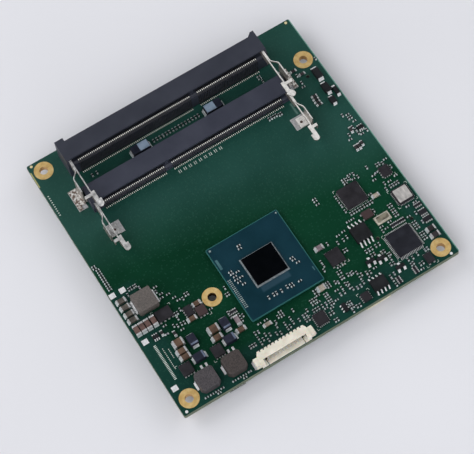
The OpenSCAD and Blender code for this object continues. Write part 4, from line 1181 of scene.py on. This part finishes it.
def photo_camera():
    forward = Vector(camera_forward).normalized()
    right = Vector(camera_right)
    right = (right - forward * right.dot(forward)).normalized()
    up = right.cross(forward)
    data = bpy.data.cameras.new("photo_camera")
    data.sensor_width = sensor_width
    data.lens = focal_length
    data.clip_start = nearest_seen * MM
    camera = bpy.data.objects.new("photo_camera", data)
    turn = Matrix((right, up, -forward)).transposed()
    camera.matrix_world = Matrix.Translation(board_point(*camera_eye)) @ turn.to_4x4()
    add_to_scene(camera)
    bpy.context.scene.camera = camera


# Light and floor, in metres and watts

# Each lamp's place, diameter and power: behind and in front on the left, and a dim one on the right
lamps = {
    "key_lamp": ((-1.0, 1.35, 1.4), 1.6, 13.0),
    "fill_lamp": ((-1.5, -0.6, 0.85), 1.4, 8.0),
    "side_lamp": ((1.5, 0.2, 0.9), 1.2, 4.0),
}
air_color = (0.96, 0.97, 1.0, 1)
air_strength = 1.08
# The flag: the way to its middle, the air's strength there, and the angles from that way at which it
# ends and inside which it is full
flag_way = (0.167, 0.377, 0.911)
flag_strength = 0.03
flag_edge = math.radians(48)
flag_core = math.radians(20)
floor_half = 3.0
# Just under the plugs' lowest faces, so that the two never lie in one plane
floor_drop = 0.01 * MM


def soft_lamp(name, place, size, power):
    """A round lamp that shines at the frame's origin."""
    data = bpy.data.lights.new(name, "AREA")
    data.shape = "DISK"
    data.size = size
    data.energy = power
    lamp = bpy.data.objects.new(name, data)
    lamp.location = place
    lamp.rotation_euler = (-Vector(place)).to_track_quat("-Z", "Y").to_euler()
    add_to_scene(lamp)


def studio_air():
    """Bright air all round, but for a black flag that the board's flat tops mirror in the photograph."""
    world = bpy.data.worlds.new("studio_air")
    world.use_nodes = True
    tree = world.node_tree
    place = tree.nodes.new("ShaderNodeTexCoord")
    flag = tree.nodes.new("ShaderNodeVectorMath")
    flag.operation = "DOT_PRODUCT"
    flag.inputs[1].default_value = Vector(flag_way).normalized()
    tree.links.new(place.outputs["Generated"], flag.inputs[0])
    fade = tree.nodes.new("ShaderNodeMapRange")
    fade.interpolation_type = "SMOOTHSTEP"
    tree.links.new(flag.outputs["Value"], fade.inputs["Value"])
    fade.inputs["From Min"].default_value = math.cos(flag_edge)
    fade.inputs["From Max"].default_value = math.cos(flag_core)
    fade.inputs["To Min"].default_value = air_strength
    fade.inputs["To Max"].default_value = flag_strength
    background = tree.nodes["Background"]
    background.inputs["Color"].default_value = air_color
    tree.links.new(fade.outputs["Result"], background.inputs["Strength"])
    return world


def paper_floor():
    """A wide pale floor; it is stage, not part of the object."""
    data = bpy.data.meshes.new("floor")
    turns = ((-1, -1), (1, -1), (1, 1), (-1, 1))
    corners = [(x * floor_half, y * floor_half, 0) for x, y in turns]
    data.from_pydata(corners, [], [(0, 1, 2, 3)])
    floor = bpy.data.objects.new("floor", data)
    floor.location.z = -floor_drop
    f = Finish("floor_paper", (222, 222, 226), roughness=0.8, specular=0.2)
    f.color(f.shades(f.noise(160, detail=2), (219, 219, 223), (226, 226, 230)))
    f.grain(0.6, 0.02, 0.2)
    data.materials.append(f.material)
    add_to_scene(floor)


photo_camera()
paper_floor()
for lamp_name, lamp in lamps.items():
    soft_lamp(lamp_name, *lamp)
bpy.context.scene.world = studio_air()
bpy.context.scene.view_settings.view_transform = "Standard"

dress_nodes()
chip_set("chip_parts", "chips", upward=True)
chip_set("underside_capacitors", "underside_chips", upward=False)
capacitor_bodies()
capacitor_solder()
polymer_solder()
polarity_fields()
flux_spots()
cable_connector_ledge()
front_package_rim()
print_marks()
processor_marks()
